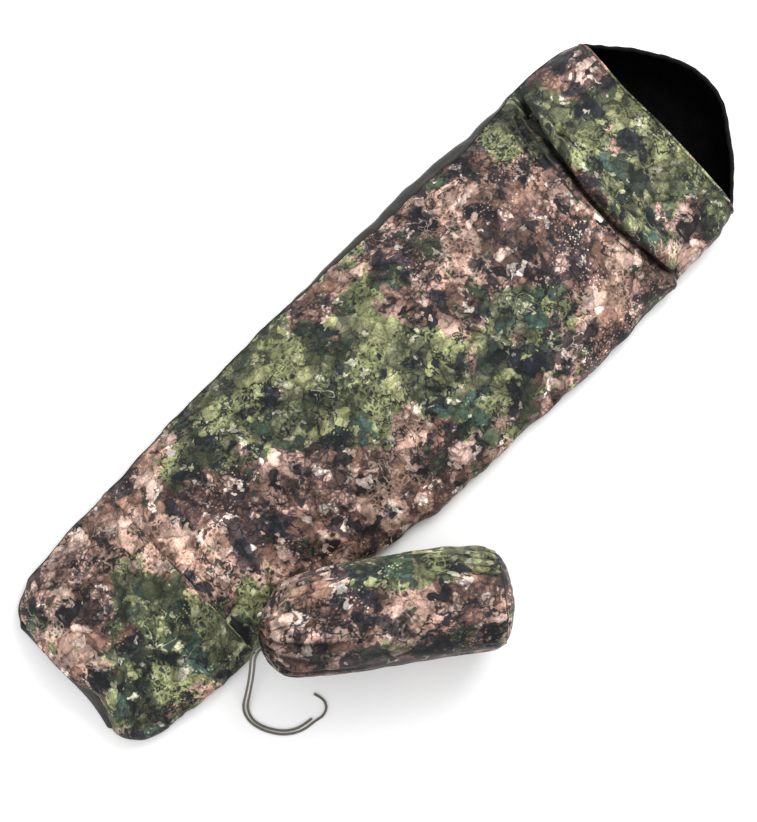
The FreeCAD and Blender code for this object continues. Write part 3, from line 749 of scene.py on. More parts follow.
def settle(piece, form, held, slack, frames, cap):
    """Let the cloth crumple, with a little more cloth than its form asks for.

    Returns where its points end up. None of them moves further than cap.
    """
    before = read_points(piece.data)
    group = piece.vertex_groups.new(name="held")
    for index, weight in enumerate(held.ravel()):
        if weight > 0:
            group.add([index], float(weight), "REPLACE")
    cloth = piece.modifiers.new("cloth", "CLOTH")
    cloth.settings.quality = 6
    cloth.settings.mass = 0.12
    cloth.settings.air_damping = 2.0
    cloth.settings.tension_stiffness = CLOTH_STIFFNESS
    cloth.settings.compression_stiffness = CLOTH_STIFFNESS
    cloth.settings.shear_stiffness = CLOTH_STIFFNESS / 2
    cloth.settings.bending_stiffness = CLOTH_BENDING
    cloth.settings.shrink_min = -slack
    cloth.settings.vertex_group_mass = "held"
    cloth.settings.pin_stiffness = 2.0
    cloth.settings.effector_weights.gravity = 0.25
    cloth.collision_settings.use_self_collision = False
    cloth.collision_settings.distance_min = CLOTH_GAP
    cloth.point_cache.frame_start = 1
    cloth.point_cache.frame_end = frames
    form.modifiers.new("solid", "COLLISION")
    form.collision.thickness_outer = CLOTH_GAP
    for number in range(1, frames + 1):
        bpy.context.scene.frame_set(number)
    shown = piece.evaluated_get(bpy.context.evaluated_depsgraph_get())
    moved = read_points(shown.data) - before
    far = np.linalg.norm(moved, axis=1, keepdims=True)
    moved *= np.minimum(1.0, cap / np.maximum(far, 1e-9))
    return before + moved


def settled_grid(grid, held, inset, closed=False, **settings):
    """The grid after its cloth has crumpled over a form.

    The form lies inset below the cloth. The sack's grid runs the other way round, so there the form
    lies that far outside the cloth.
    """
    flat = np.zeros((grid.shape[0], grid.shape[1] + 1, 2))
    form = grid_piece("form", grid - grid_normals(grid) * inset, flat, closed=closed)
    piece = grid_piece("loose", grid, flat, closed=closed)
    result = settle(piece, form, held, **settings).reshape(grid.shape)
    bpy.data.objects.remove(piece)
    bpy.data.objects.remove(form)
    bpy.context.scene.frame_set(1)
    return result


def tube(name, line, radius, ripple, seed, sides=10, up=None):
    """A soft round edge along a line of points, closed to a point at each end."""
    line = np.asarray(line, float)
    ahead = unit(np.gradient(line, axis=0))
    up = np.tile((0.0, 0.0, 1.0), (len(line), 1)) if up is None else up
    side = unit(np.cross(ahead, up))
    top = np.cross(side, ahead)
    turn = np.linspace(0, 2 * math.pi, sides, endpoint=False)
    size = radius * (1 + ripple * lumps(line[:, None, :] + np.zeros((1, sides, 1)), 0.012, seed))
    grid = (line[:, None, :] + side[:, None, :] * (np.cos(turn)[None, :] * size)[..., None]
            + top[:, None, :] * (np.sin(turn)[None, :] * size)[..., None])
    grid[0] = line[0]
    grid[-1] = line[-1]
    flat = cloth_places(np.linspace(0, 2 * math.pi * radius, sides + 1)[None, :], arc_lengths(line)[:, None])
    piece = grid_piece(name, grid, flat, closed=True)
    weld(piece)
    return piece


STITCH_SIDES = 5
# a stitch's four rings: where along it, how thick, and how high over the cloth
STITCH_RINGS = ((-0.5, 0.35, -0.3), (-0.3, 1.0, 0.7), (0.3, 1.0, 0.7), (0.5, 0.35, -0.3))


def stitches(name, line, up, pitch=0.0042, length=0.0030, thick=0.0004):
    """A row of short thread stitches that lie on a line, each a small rounded bar."""
    place = arc_lengths(line)
    parts = np.array([part for part, _, _ in STITCH_RINGS])
    points, faces = [], []
    for middle_at in np.arange(pitch, place[-1] - pitch, pitch):
        ends = read_off(middle_at + parts * length, place, line)
        rise = read_off(middle_at, place, up)
        ahead = ends[-1] - ends[0]
        ahead /= np.linalg.norm(ahead)
        side = np.cross(ahead, rise)
        side /= np.linalg.norm(side)
        start = len(points)
        for end, (_, swell, lift) in zip(ends, STITCH_RINGS):
            for k in range(STITCH_SIDES):
                turn = 2 * math.pi * k / STITCH_SIDES
                points.append(end + rise * thick * (lift + math.sin(turn) * swell)
                              + side * thick * math.cos(turn) * swell * 1.2)
        for ring in range(start, start + 3 * STITCH_SIDES, STITCH_SIDES):
            for k in range(STITCH_SIDES):
                a, b = ring + k, ring + (k + 1) % STITCH_SIDES
                faces.append((a, b, b + STITCH_SIDES, a + STITCH_SIDES))
        faces.append(tuple(start + k for k in range(STITCH_SIDES))[::-1])
        faces.append(tuple(start + 3 * STITCH_SIDES + k for k in range(STITCH_SIDES)))
    piece = plain_mesh(name, points, faces)
    smooth_shaded(piece)
    return piece


def dress(piece, material, body, slot, *nodes):
    piece.data.materials.append(material)
    if body:
        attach(piece, body)
    if nodes:
        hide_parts(*nodes)


def cloth_sheet(piece, thickness=0.0012, offset=-1.0, **settings):
    """Finish a sheet: finer, then given its thickness, inwards unless it is told otherwise."""
    modified(piece, "SUBSURF", levels=1, render_levels=1, boundary_smooth="PRESERVE_CORNERS")
    modified(piece, "SOLIDIFY", thickness=thickness, offset=offset, **settings)


# ---------------------------------------------------------------- bag


def seam_distance(grid):
    """How far each point is, across the cloth, from the nearer side seam."""
    steps = np.linalg.norm(np.diff(grid, axis=1), axis=2)
    across = np.concatenate([np.zeros((len(grid), 1)), np.cumsum(steps, axis=1)], axis=1)
    return np.minimum(across, across[:, -1:] - across)


FLAP_FREE = 0.648
FLAP_ROOT = 0.750
FLAP_HALF = 0.292


def flap_edge(x):
    """How far down the bag the free edge of the flap reaches at x."""
    left = 0.075 * np.clip((0.07 - x) / 0.36, 0, 1) ** 2.0
    right = 0.042 * np.clip((x - 0.07) / 0.24, 0, 1) ** 2.0
    return FLAP_FREE + left + right


RIDGE_HEIGHT = 0.016
DIP_DEPTH = 0.024


def filled_shape(grid):
    """The stuffed bag's soft hills, its puckered seams and the rolls of cloth under the flap.

    Also returns the painted shade of each point, from 0 to 1, deepest in its creases.
    """
    side = seam_distance(grid)
    x, y = grid[..., 0], grid[..., 1]
    loose = smooth(side, 0.0, 0.06)
    height = loose * (0.0050 * lumps(grid, 0.19, 1) + 0.0030 * lumps(grid, 0.085, 2)
                      + 0.0012 * lumps(grid, 0.04, 3))
    # puckers beside the side seams, the foot seam and the mouth
    pucker = hills(4, y / 0.013, side / 0.09, 4)
    height += (smooth(side, 0.0, 0.010) - smooth(side, 0.02, 0.085)) * 0.0030 * pucker
    foot = np.abs(y - FOOT_SEAM)
    foot_pucker = hills(5, x / 0.016, y / 0.07, 9)
    height += smooth(foot, 0.0, 0.010) * np.exp(-foot / 0.028) * 0.0026 * foot_pucker
    mouth = MOUTH - y
    mouth_pucker = hills(6, x / 0.022, y / 0.09, 2)
    height += smooth(mouth, 0.0, 0.02) * np.exp(-mouth / 0.05) * 0.0024 * mouth_pucker
    # a roll of cloth follows the flap's free edge, and a second one lies beside it on the left
    below = flap_edge(x) - y
    wander = 0.004 * hills(7, x / 0.11, 0, 0)
    roll = bell(below - 0.027 + wander, 0.0085) * (0.45 + 0.90 * smooth(-x, -0.02, 0.12))
    second = 1.35 * bell(below - 0.053 + wander, 0.0095) * smooth(-x, 0.06, 0.14)
    fold = bell(below - 0.050 + 0.25 * (x - 0.2), 0.011) * smooth(x, 0.16, 0.24)
    dip = bell(below - 0.004, 0.014)
    height += loose * (RIDGE_HEIGHT * (roll + second + 0.8 * fold) - DIP_DEPTH * dip)
    # painted shade in the creases: under the flap's edge, between the two rolls, below the second one, and in
    # every hollow
    deep = bell(below - 0.005, 0.011) * smooth(0.30 - np.abs(x), 0.0, 0.03)
    between = bell(below - 0.040 + wander, 0.0055) * smooth(-x, 0.05, 0.14) * loose
    beside = bell(below - 0.070 + wander, 0.0070) * smooth(-x, 0.08, 0.16) * loose
    low = smooth(around(height) - height, 0.0012, 0.0060)
    painted_shade = np.clip(deep + between + 0.75 * beside + 0.45 * low * loose, 0.0, 1.0)
    return grid + grid_normals(grid) * height[..., None], painted_shade


def around(height):
    """The mean height round each point."""
    mean = height.copy()
    for _ in range(6):
        mean[1:-1] = (mean[:-2] + mean[1:-1] + mean[2:]) / 3
        mean[:, 1:-1] = (mean[:, :-2] + mean[:, 1:-1] + mean[:, 2:]) / 3
    return mean


def bag_held(grid, rows):
    """Which points the seams hold while the cloth crumples."""
    held = np.zeros(grid.shape[:2])
    held[:, [0, -1]] = 1.0
    held[:, [1, -2]] = 0.5
    for name in ("foot_seam", "slot_low", "slot_high", "mouth"):
        held[rows[name]] = 1.0
    held[0] = 1.0
    held[rows["slot_low"]:rows["slot_high"]] = 1.0
    return held


def in_slot(i, j, rows, grid):
    middle_x = grid[i, j:j + 2, 0].mean()
    return rows["slot_low"] <= i < rows["slot_high"] and abs(middle_x) < ZIP_HALF


def part_of(piece_name, grid, cloth, zone, painted_shade, first, last, keep=None):
    def wanted(i, j):
        return first <= i < last and (keep is None or keep(i, j))
    return grid_piece(piece_name, grid, cloth, zone, keep=wanted, painted_shade=painted_shade)


def make_bag_panels(grid, form, painted_shade, rows, camo, back):
    zone = green_zone(form)
    end_row, zip_row = rows["foot_seam"], rows["zip"]

    def off_slot(i, j):
        return not in_slot(i, j, rows, grid)

    # the foot panel laps over the top panel at the seam between them
    lap = grid.copy()
    normals = grid_normals(grid)
    lap[end_row + 1] = lap[end_row] * 0.15 + lap[end_row + 1] * 0.85 + normals[end_row + 1] * 0.0035
    lap[end_row] += normals[end_row] * 0.0030
    lap[end_row - 1] += normals[end_row - 1] * 0.0012
    # the foot panel is cut from a greener part of the cloth along the middle of its seam
    away = (form[..., 0] + 0.02) ** 2 + (form[..., 1] + 0.775) ** 2
    foot_zone = zone + 0.60 * np.exp(-away / 0.070 ** 2)
    foot = part_of("foot_panel_cloth", lap, cloth_flat(form, FOOT_CUT), foot_zone, painted_shade, 0, end_row + 1)
    top = part_of("top_panel_cloth", grid, cloth_flat(form), zone, painted_shade, end_row, zip_row, off_slot)
    band = part_of("hood_band_cloth", grid, cloth_flat(form, BAND_CUT), zone, painted_shade, zip_row, len(grid) - 1,
                   off_slot)
    for panel, nodes in ((foot, ("foot_panel",)), (top, ("top_panel",)), (band, ("hood_band",))):
        # both materials come first, so that the inner face can take the second
        dress(panel, camo, None, "camo_fabric")
        panel.data.materials.append(back)
        reworked(panel, drop_loose)
        cloth_sheet(panel, material_offset=1)
        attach(panel, "bag")
        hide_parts(*nodes)


GROUND_GAP = 0.0004
SACK_GAP = 0.0012


def keep_above(grid, level):
    """No point of the grid stays lower than this."""
    grid[..., 2] = np.maximum(grid[..., 2], level)


def make_ground_sheet(upper, lower, material):
    grid = lower.copy()
    grid[:, 0], grid[1:, -1] = upper[:, -1], upper[1:, 0]
    grid[0] = evenly(upper[0][::-1], grid.shape[1])
    side = seam_distance(grid)
    raised = smooth(grid[..., 2], 0.006, 0.03) * smooth(side, 0.0, 0.012)
    pucker = hills(12, grid[..., 1] / 0.035, side / 0.12, 0)
    height = raised * (0.0035 * pucker + 0.004 * lumps(grid, 0.12, 11))
    grid = grid + grid_normals(grid) * height[..., None]
    keep_above(grid, GROUND_GAP)
    sheet = grid_piece("ground_sheet_cloth", grid, cloth_flat(grid))
    cloth_sheet(sheet)
    dress(sheet, material, "bag", "ground_fabric", "ground_sheet")


SEAM_POINTS = 260


def make_side_seams(upper, material, thread):
    """A turned seam on each side, from the mouth down to the middle of the foot end."""
    middle_column = upper.shape[1] // 2
    normals = grid_normals(upper)
    lines = {
        "left": (np.concatenate([upper[:0:-1, 0], upper[0, :middle_column + 1]]),
                 np.concatenate([normals[:0:-1, 1], normals[0, :middle_column + 1]])),
        "right": (np.concatenate([upper[:0:-1, -1], upper[0, :middle_column - 1:-1]]),
                  np.concatenate([normals[:0:-1, -2], normals[0, :middle_column - 1:-1]])),
    }
    for side, (line, up) in lines.items():
        roll = tube(f"{side}_side_seam_roll", line, 0.0013, up=up, ripple=0.25, seed=21)
        dress(roll, material, "bag", "binding", f"{side}_side_seam")
        inner = evenly(line + up * 0.0012, SEAM_POINTS) + np.array([0, 0, 0.0016])
        sewn = stitches(f"{side}_side_seam_stitches", inner, spread(up, SEAM_POINTS),
                        pitch=0.0050, length=0.0034, thick=0.0005)
        dress(sewn, thread, "bag", "binding")


def offset_line(grid, row, share, height):
    """A line across the cloth, between two of its rows, raised by the given height."""
    normals = grid_normals(grid)
    line = grid[row] * (1 - share) + grid[row + 1] * share + normals[row] * height
    return line, normals[row]


def make_foot_seam(grid, rows, camo, thread):
    """Folded edge of the foot panel, with two rows of stitching."""
    row = rows["foot_seam"]
    line, up = offset_line(grid, row, 0.88, 0.0032)
    edge = tube("foot_seam_folded_edge", evenly(line, 140), 0.0012, ripple=0.2, seed=23)
    # the folded edge takes an even painted shade all along it
    give_zone(edge, 0.35)
    dress(edge, camo, "bag", "binding", "foot_seam_tape")
    for number, share in enumerate((0.18, 0.72)):
        line, up = offset_line(grid, row, share, 0.0036)
        sewn = stitches(f"foot_seam_stitches_{number}", line, up)
        dress(sewn, thread, "bag", "binding")


def give_zone(piece, painted_shade=0.0):
    """A rolled edge is printed like the cloth it lies on, and may take an even painted shade."""
    zone = green_zone(read_points(piece.data)[:, None])
    write_fields(piece, zone, zone * 0 + painted_shade)


def make_mouth_hem(grid, material, thread):
    """The band's edge is turned over into a hem at the mouth."""
    line = evenly(grid[-1], 150)
    normals = grid_normals(grid)
    hem = tube("mouth_hem_roll", line, 0.0034, ripple=0.12, seed=25, sides=12)
    give_zone(hem)
    dress(hem, material, "bag", "camo_fabric", "mouth_hem")
    sewn = stitches("mouth_hem_stitches", grid[-2] + normals[-2] * 0.0006, normals[-2])
    dress(sewn, thread, "bag", "binding")


# ---------------------------------------------------------------- storm flap

# the flap's shape across its width: how far down, as a share, and how high off the bag
FLAP_PROFILE = (
    (0.00, 0.0015), (0.10, 0.0045), (0.25, 0.0100), (0.45, 0.0170), (0.65, 0.0240), (0.82, 0.0295),
    (0.93, 0.0310), (1.00, 0.0285), (1.045, 0.0225), (1.05, 0.0160), (1.01, 0.0110), (0.93, 0.0100),
    (0.70, 0.0115), (0.40, 0.0095), (0.15, 0.0024),
)


def on_bag(grid, normals, column, y, height):
    """A point over the bag's cloth, on one of its columns."""
    along = grid[END_ROWS:, column, 1]
    point = read_off(y, along, grid[END_ROWS:, column])
    up = read_off(y, along, normals[END_ROWS:, column])
    return point + up / np.linalg.norm(up) * height


def close_ends(shape):
    """Close the flap's two ends, with the print of the cloth beside them."""
    ends = bmesh.ops.holes_fill(shape, edges=[e for e in shape.edges if e.is_boundary], sides=0)["faces"]
    layer = shape.loops.layers.uv["cloth"]
    for loop in (loop for face in ends for loop in face.loops):
        beside = next(other for other in loop.vert.link_loops if other.face not in ends)
        loop[layer].uv = beside[layer].uv.copy()


def make_flap(smooth_grid, camo):
    share = np.array([down for down, _ in FLAP_PROFILE])
    normals = grid_normals(smooth_grid)
    row = int(np.argmin(np.abs(smooth_grid[:, 5, 1] - FLAP_ROOT)))
    across = smooth_grid[row, :, 0]
    columns = [c for c in range(2, COLUMNS - 2) if abs(across[c]) < FLAP_HALF]
    grid = np.zeros((len(columns), len(FLAP_PROFILE), 3))
    flat = np.zeros((len(columns), len(FLAP_PROFILE) + 1, 2))
    widths = arc_lengths(smooth_grid[row])
    rooted = arc_lengths(smooth_grid[:, COLUMNS // 2])[row]
    for i, column in enumerate(columns):
        x = across[column]
        reach = FLAP_ROOT - flap_edge(x)
        ends = smooth(FLAP_HALF - abs(x), 0.0, 0.05)
        puff = 0.12 + 0.88 * ends
        gone = 0.0
        for j, (down, high) in enumerate(FLAP_PROFILE):
            swell = 1 + 0.16 * hills(31, x / 0.05, down * 2.0, 0.5)
            y = FLAP_ROOT - reach * down
            grid[i, j] = on_bag(smooth_grid, normals, column, y, high * puff * swell)
            gone += np.linalg.norm(grid[i, j] - grid[i, j - 1]) if j else 0.0
            flat[i, j] = (widths[column] - widths[COLUMNS // 2], rooted - gone)
        flat[i, -1] = flat[i, -2] - (0, 0.012)
    lift = 0.0028 * hills(33, grid[..., 0] / 0.045, grid[..., 1] / 0.16, 0)
    lift[:, :2] *= 0.2
    grid[..., 2] += lift * smooth(share, 0.1, 0.6)[None, :]
    # the underside is shaded, and so is the outside where it turns in at the free edge
    under = np.arange(len(share)) > np.argmax(share)
    shade = np.where(under, 0.25 + 0.75 * smooth(share, 0.6, 0.95), 0.55 * smooth(share, 0.72, 1.04))
    shade = shade[None, :] + 0 * grid[..., 0]
    flap = grid_piece("storm_flap_cloth", grid, flat + np.array(BAND_CUT), green_zone(grid) + 0.30,
                      closed=True, painted_shade=shade)
    reworked(flap, close_ends, turn_outwards)
    modified(flap, "SUBSURF", levels=2, render_levels=2)
    dress(flap, camo, None, "camo_fabric", "storm_flap", "flap_hem", "flap_seam")
    return flap


# ---------------------------------------------------------------- hood

HOOD_COLUMNS = 72
HOOD_ROWS = 30
HOOD_WALL = 0.0055


def hood_walls():
    """The hood's outer surface: round from the left end of the mouth, and up from the ground."""
    tree, _ = node_tree("hood_shell", "hood_rim_binding")
    centre = Vector((0.0, MOUTH + 0.001, 0.042))
    profiles = []
    for turn in np.linspace(math.pi, 0.0, HOOD_COLUMNS):
        ahead = Vector((math.cos(turn), math.sin(turn), 0.0))
        profile = []
        for rise in np.radians(np.linspace(-86.0, 60.0, 110)):
            ray = ahead * math.cos(rise) + Vector((0, 0, math.sin(rise)))
            place, _, _, _ = tree.ray_cast(centre + ray, -ray, 1.0)
            if place is not None and (place - centre).dot(ahead) > 0.02:
                profile.append(np.array(place))
        profiles.append(evenly(np.array(profile), HOOD_ROWS))
    grid = np.array(profiles)
    # even out the stations of the form
    for _ in range(60):
        grid[1:-1] = (grid[:-2] + 2 * grid[1:-1] + grid[2:]) / 4
    back = grid[..., 1] - MOUTH
    grid[..., 0] += 0.002 * smooth(back, 0.0, 0.07)
    grid[..., 0] -= 0.012 * smooth(-grid[..., 0], 0.02, 0.14) * smooth(back, 0.05, 0.12)
    grid[..., 1] -= 0.007 * smooth(back, 0.04, 0.19)
    return lean(grid)


def make_hood(shell_cloth, lining_cloth, binding):
    outer = hood_walls()
    normals = grid_normals(outer)
    raised = smooth(outer[..., 2], 0.004, 0.03)
    soft = hills(41, outer[..., 0] / 0.05, outer[..., 1] / 0.05, outer[..., 2] / 0.14)
    outer = outer + normals * (raised * 0.0018 * soft)[..., None]
    along = arc_lengths(outer[:, -1])
    below_rim = outer[:, -1:, 2] - outer[..., 2]
    gathers = np.sin(along / 0.0065)[:, None] * np.exp(-below_rim / 0.018) * raised
    outer = outer + normals * (0.0007 * gathers)[..., None]
    keep_above(outer, GROUND_GAP)
    normals = grid_normals(outer)
    inner = outer - normals * HOOD_WALL
    keep_above(inner, 0.004)
    floor_part = smooth(outer[..., 2], 0.0, 0.02)
    crumple = 0.0030 * lumps(inner, 0.055, 43) + 0.0016 * lumps(inner, 0.025, 44)
    inner[..., 2] += (1 - floor_part) * (0.0035 + crumple)
    flat = cloth_places(along[:, None], np.linspace(0, 0.4, HOOD_ROWS + 1)[None])
    shell = grid_piece("hood_shell_cloth", outer, flat)
    cloth_sheet(shell)
    dress(shell, shell_cloth, "bag", "hood_black", "hood_shell")
    lining = grid_piece("hood_lining_cloth", inner, flat)
    cloth_sheet(lining, thickness=0.001, offset=1.0)
    dress(lining, lining_cloth, "bag", "hood_black", "hood_lining")
    rim_line = (outer[:, -1] + inner[:, -1]) / 2
    rim = tube("hood_rim_roll", evenly(rim_line, 150), 0.0052, ripple=0.14, seed=45, sides=14)
    dress(rim, binding, "bag", "hood_black", "hood_rim_binding")
    sewn = stitches("hood_rim_stitches", evenly(outer[:, -2] + normals[:, -2] * 0.0006, 200),
                    evenly(normals[:, -2], 200), pitch=0.0048, length=0.0033)
    dress(sewn, binding, "bag", "hood_black")


# ---------------------------------------------------------------- stuff sack

SACK_START = Vector((0.248, -0.657, 0.168))
SACK_TURN = math.radians(53.6)
SACK_SLOPE = math.radians(3.48)
SACK_AXIS = Vector((
    math.cos(SACK_TURN) * math.cos(SACK_SLOPE),
    math.sin(SACK_TURN) * math.cos(SACK_SLOPE),
    -math.sin(SACK_SLOPE),
))
SACK_OUT = Vector((math.sin(SACK_TURN), -math.cos(SACK_TURN), 0.0))
SACK_TOP = SACK_OUT.cross(SACK_AXIS)
SACK_STRETCH = 1.015
SACK_RING = 0.560
SACK_SIDES = 168
# half outlines, (along, out): on the side away from the bag, and on the side towards it
OUTER_LINE = ((-0.004, 0.014), (-0.012, 0.040), (0.002, 0.086), (0.034, 0.126), (0.070, 0.139), (0.186, 0.143),
              (0.305, 0.140), (0.402, 0.136), (0.490, 0.132), (0.535, 0.126), (SACK_RING, 0.111))
INNER_LINE = ((0.004, 0.014), (0.012, 0.041), (0.042, 0.085), (0.094, 0.112), (0.195, 0.133),
              (0.291, 0.1365), (0.380, 0.138), (0.455, 0.137), (0.520, 0.127), (SACK_RING, 0.108))
OUTER_END = ((SACK_RING, 0.111), (0.569, 0.102), (0.580, 0.080), (0.589, 0.046), (0.592, 0.0))
INNER_END = ((SACK_RING, 0.108), (0.570, 0.098), (0.581, 0.077), (0.589, 0.044), (0.592, 0.0))


def curve_through(points, count):
    """A smooth line through a few points of an outline, evenly spaced."""
    line = spread(np.array(points, float), 400)
    for _ in range(90):
        line[1:-1] = (line[:-2] + line[2:]) / 2
    return evenly(line, count)


def sack_grid(outer, inner, count):
    """A ring of points at each step along the sack: rows along, columns round."""
    turn = np.linspace(0, 2 * math.pi, SACK_SIDES, endpoint=False)
    share = ((1 + np.cos(turn)) / 2)[None, :, None]
    far, near = curve_through(outer, count)[:, None], curve_through(inner, count)[:, None]
    mixed = far * share + near * (1 - share)
    along, out = mixed[..., 0] * SACK_STRETCH, mixed[..., 1]
    return round_axis(along, out * np.cos(turn), out * np.sin(turn)), along, out, turn


def round_axis(along, out, up):
    """Points of the sack, from how far they lie along its axis, out from it and above it."""
    return (np.array(SACK_START) + along[..., None] * np.array(SACK_AXIS)
            + out[..., None] * np.array(SACK_OUT) + up[..., None] * np.array(SACK_TOP))


def round_hills(seed, turn, tight, far):
    """The random field round the sack: the tighter, the more hills there are on the way round."""
    return hills(seed, np.cos(turn) * tight, np.sin(turn) * tight, far)


def sack_normals(points):
    """Outward normals of a closed ring of points at each step along the sack."""
    across = np.roll(points, -1, axis=1) - np.roll(points, 1, axis=1)
    along = np.gradient(points, axis=0)
    return unit(np.cross(along, across))


def sag(points, along, turn):
    """The filled sack rests along its length on the floor."""
    axis_height = SACK_START.z - along * math.sin(SACK_SLOPE)
    gap = np.maximum(axis_height - 0.138, 0.0)
    low = smooth(-np.sin(turn), -0.2, 0.9)[None, :] * smooth(along, 0.02, 0.10)
    points = points.copy()
    points[..., 2] -= gap * low
    keep_above(points, SACK_GAP)
    return points


def make_sack_side(camo):
    """The sack's side, and its last ring of points."""
    points, along, out, turn = sack_grid(OUTER_LINE, INNER_LINE, 74)
    normals = sack_normals(points)
    to_ring = SACK_RING * SACK_STRETCH - along
    # gathers fan out from the drawn neck and die away over the shoulder
    fade = np.exp(-(np.maximum(along, 0) / 0.125) ** 1.4)
    sway = 0.5 * round_hills(51, turn, 1, along / 0.05)
    pleat = np.abs(np.sin(9.5 * turn + 1.5 * sway))
    folds = 1.6 * pleat - 1 + 0.35 * np.sin(29 * turn + 2.0 * sway + 1.0)
    height = 0.0120 * fade * folds * smooth(out, 0.010, 0.050)
    # the filling shows as soft lumps, large ones, long ones and small ones
    height += 0.0050 * round_hills(52, turn, 2.2, along / 0.16) * smooth(out, 0.05, 0.12)
    height += 0.0026 * round_hills(53, turn, 6, along / 0.22) * smooth(out, 0.05, 0.12)
    height += 0.0014 * round_hills(54, turn, 5, along / 0.035)
    # slanting folds near the seamed end, and one long crease where the cloth is joined
    near_ring = np.exp(-(SACK_RING - along) / 0.055)
    slant = 1.5 * np.abs(np.sin(15.5 * turn + along * 42 + 2.0 * sway)) - 1
    near_ring = near_ring * (0.35 + 0.65 * smooth(-np.cos(turn), -0.3, 0.5) * smooth(np.sin(turn), -0.4, 0.1))
    height += 0.0062 * near_ring * slant * smooth(to_ring, 0.002, 0.03)
    line_fold = bell(along - 0.128 - 0.02 * np.sin(turn), 0.005) * smooth(np.cos(turn - 0.9), 0.0, 0.8)
    height -= 0.0030 * line_fold
    points = points + normals * height[..., None]
    points = sag(points, along, turn)
    held = np.zeros(points.shape[:2])
    held[:3] = 1.0
    held[-1] = 1.0
    held[-4:-1] = 0.6
    points = settled_grid(points, held, inset=0.005, closed=True, slack=0.022, frames=16, cap=0.009)
    keep_above(points, SACK_GAP)

    # the print runs round the sack, greener on top
    flat = cloth_places(arc_lengths(points[:, SACK_SIDES // 5])[:, None],
                        0.139 * np.linspace(0, 2 * math.pi, SACK_SIDES + 1)[None, :], SACK_CUT)
    top_green = smooth(-np.cos(turn), -0.1, 0.55)[None, :] * smooth(along, 0.14, 0.28)
    zone = 0.04 + 0.95 * top_green + 0.20 * lumps(points, 0.12, 55)
    # painted shade: dark in the gathers, round the drawn neck, in the slanting folds by the seamed end, along
    # the long crease, and over the side turned away from the bag and from the key light
    painted_shade = fade ** 0.7 * bell(pleat, 0.42) + 0.8 * np.exp(-np.maximum(out - 0.014, 0) / 0.030)
    painted_shade += 1.3 * near_ring * smooth(to_ring, 0.0, 0.02) * smooth(-slant, 0.0, 0.7)
    painted_shade += 0.55 * smooth(np.cos(turn), 0.25, 0.75) + 0.45 * line_fold
    body = grid_piece("sack_body_cloth", points, flat, zone, closed=True, painted_shade=np.clip(painted_shade, 0.0, 1.0))
    cloth_sheet(body)
    dress(body, camo, "stuff_sack", "camo_fabric", "sack_body", "sack_filling")
    return points[-1]


def make_sack_end(ring, camo, binding):
    """The round end, and the seam that joins it to the side's last ring of points."""
    disc, _, out, turn = sack_grid(OUTER_END, INNER_END, 22)
    near = smooth(0.112 - out, 0.0, 0.01) * smooth(out, 0.02, 0.06)
    puckers = 0.0016 * np.sin(27 * turn) * smooth(out, 0.07, 0.12)
    lift = near * (0.0030 * round_hills(56, turn, 4, out / 0.06) + puckers)
    disc = disc + sack_normals(disc) * lift[..., None]
    disc[0] = ring
    keep_above(disc, SACK_GAP)
    wide = np.append(turn, 2 * math.pi)
    far = np.append(out, out[:, :1], axis=1)
    flat = cloth_places(far * np.cos(wide)[None, :], far * np.sin(wide)[None, :], DISC_CUT)
    cap = grid_piece("sack_end_disc_cloth", disc, flat, np.full(disc.shape[:2], 0.25), closed=True)
    weld(cap)
    cloth_sheet(cap)
    dress(cap, camo, "stuff_sack", "camo_fabric", "sack_end_disc")
    seam = tube("sack_end_seam_roll", np.concatenate([ring, ring[:3]]), 0.0017, ripple=0.2, seed=57)
    dress(seam, binding, "stuff_sack", "camo_fabric", "sack_end_seam")


def make_gather(camo):
    """The drawn mouth of the sack: a channel of tight pleats round the cord."""
    turn = np.linspace(0, 2 * math.pi, 144, endpoint=False)
    rim = np.linspace(0, 2 * math.pi, 22, endpoint=False)
    pleats = 0.5 + 0.5 * np.sin(17 * turn + 0.8 * np.sin(3 * turn))
    ring, thick = 0.0195, 0.0088
    size = thick * (0.80 + 0.26 * pleats[:, None] * (0.6 + 0.4 * np.cos(rim - 0.6)[None, :]))
    out = ring + size * np.cos(rim)[None, :]
    ahead = -size * np.sin(rim)[None, :] * 1.15
    grid = round_axis(ahead, out * np.cos(turn)[:, None], out * np.sin(turn)[:, None])
    flat = cloth_places((turn * 0.05)[:, None], np.linspace(0, 0.055, len(rim) + 1)[None, :], COLLAR_CUT)
    grid = np.concatenate([grid, grid[:1]])
    flat = np.concatenate([flat, flat[-1:] + (0.002, 0)])
    zone = np.full(grid.shape[:2], 0.3)
    collar = grid_piece("sack_gathered_collar", grid, flat, zone, closed=True)
    weld(collar)
    modified(collar, "SUBSURF", levels=1, render_levels=1)
    dress(collar, camo, "stuff_sack", "camo_fabric", "sack_mouth_channel")


# ---------------------------------------------------------------- drawcords

LONG_ROUTE = (
    (0.2641, -0.6745, 0.1507), (0.279, -0.689, 0.135), (0.274, -0.722, 0.127), (0.304, -0.757, 0.074),
    (0.331, -0.799, 0.022), (0.350, -0.832, 0.0032), (0.388, -0.842, 0.0032), (0.432, -0.827, 0.0032),
    (0.470, -0.798, 0.0032), (0.491, -0.760, 0.0032), (0.494, -0.722, 0.0032), (0.499, -0.697, 0.0032),
    (0.487, -0.676, 0.0032), (0.464, -0.672, 0.0032), (0.444, -0.680, 0.0032),
)
SHORT_ROUTE = (
    (0.2682, -0.6689, 0.1503), (0.2875, -0.684, 0.133), (0.284, -0.718, 0.125), (0.311, -0.751, 0.072),
    (0.338, -0.793, 0.022), (0.357, -0.823, 0.0032), (0.390, -0.833, 0.0032), (0.428, -0.819, 0.0032),
    (0.463, -0.792, 0.0032), (0.482, -0.757, 0.0032), (0.484, -0.724, 0.0032),
)
CORD_RADIUS = 0.003


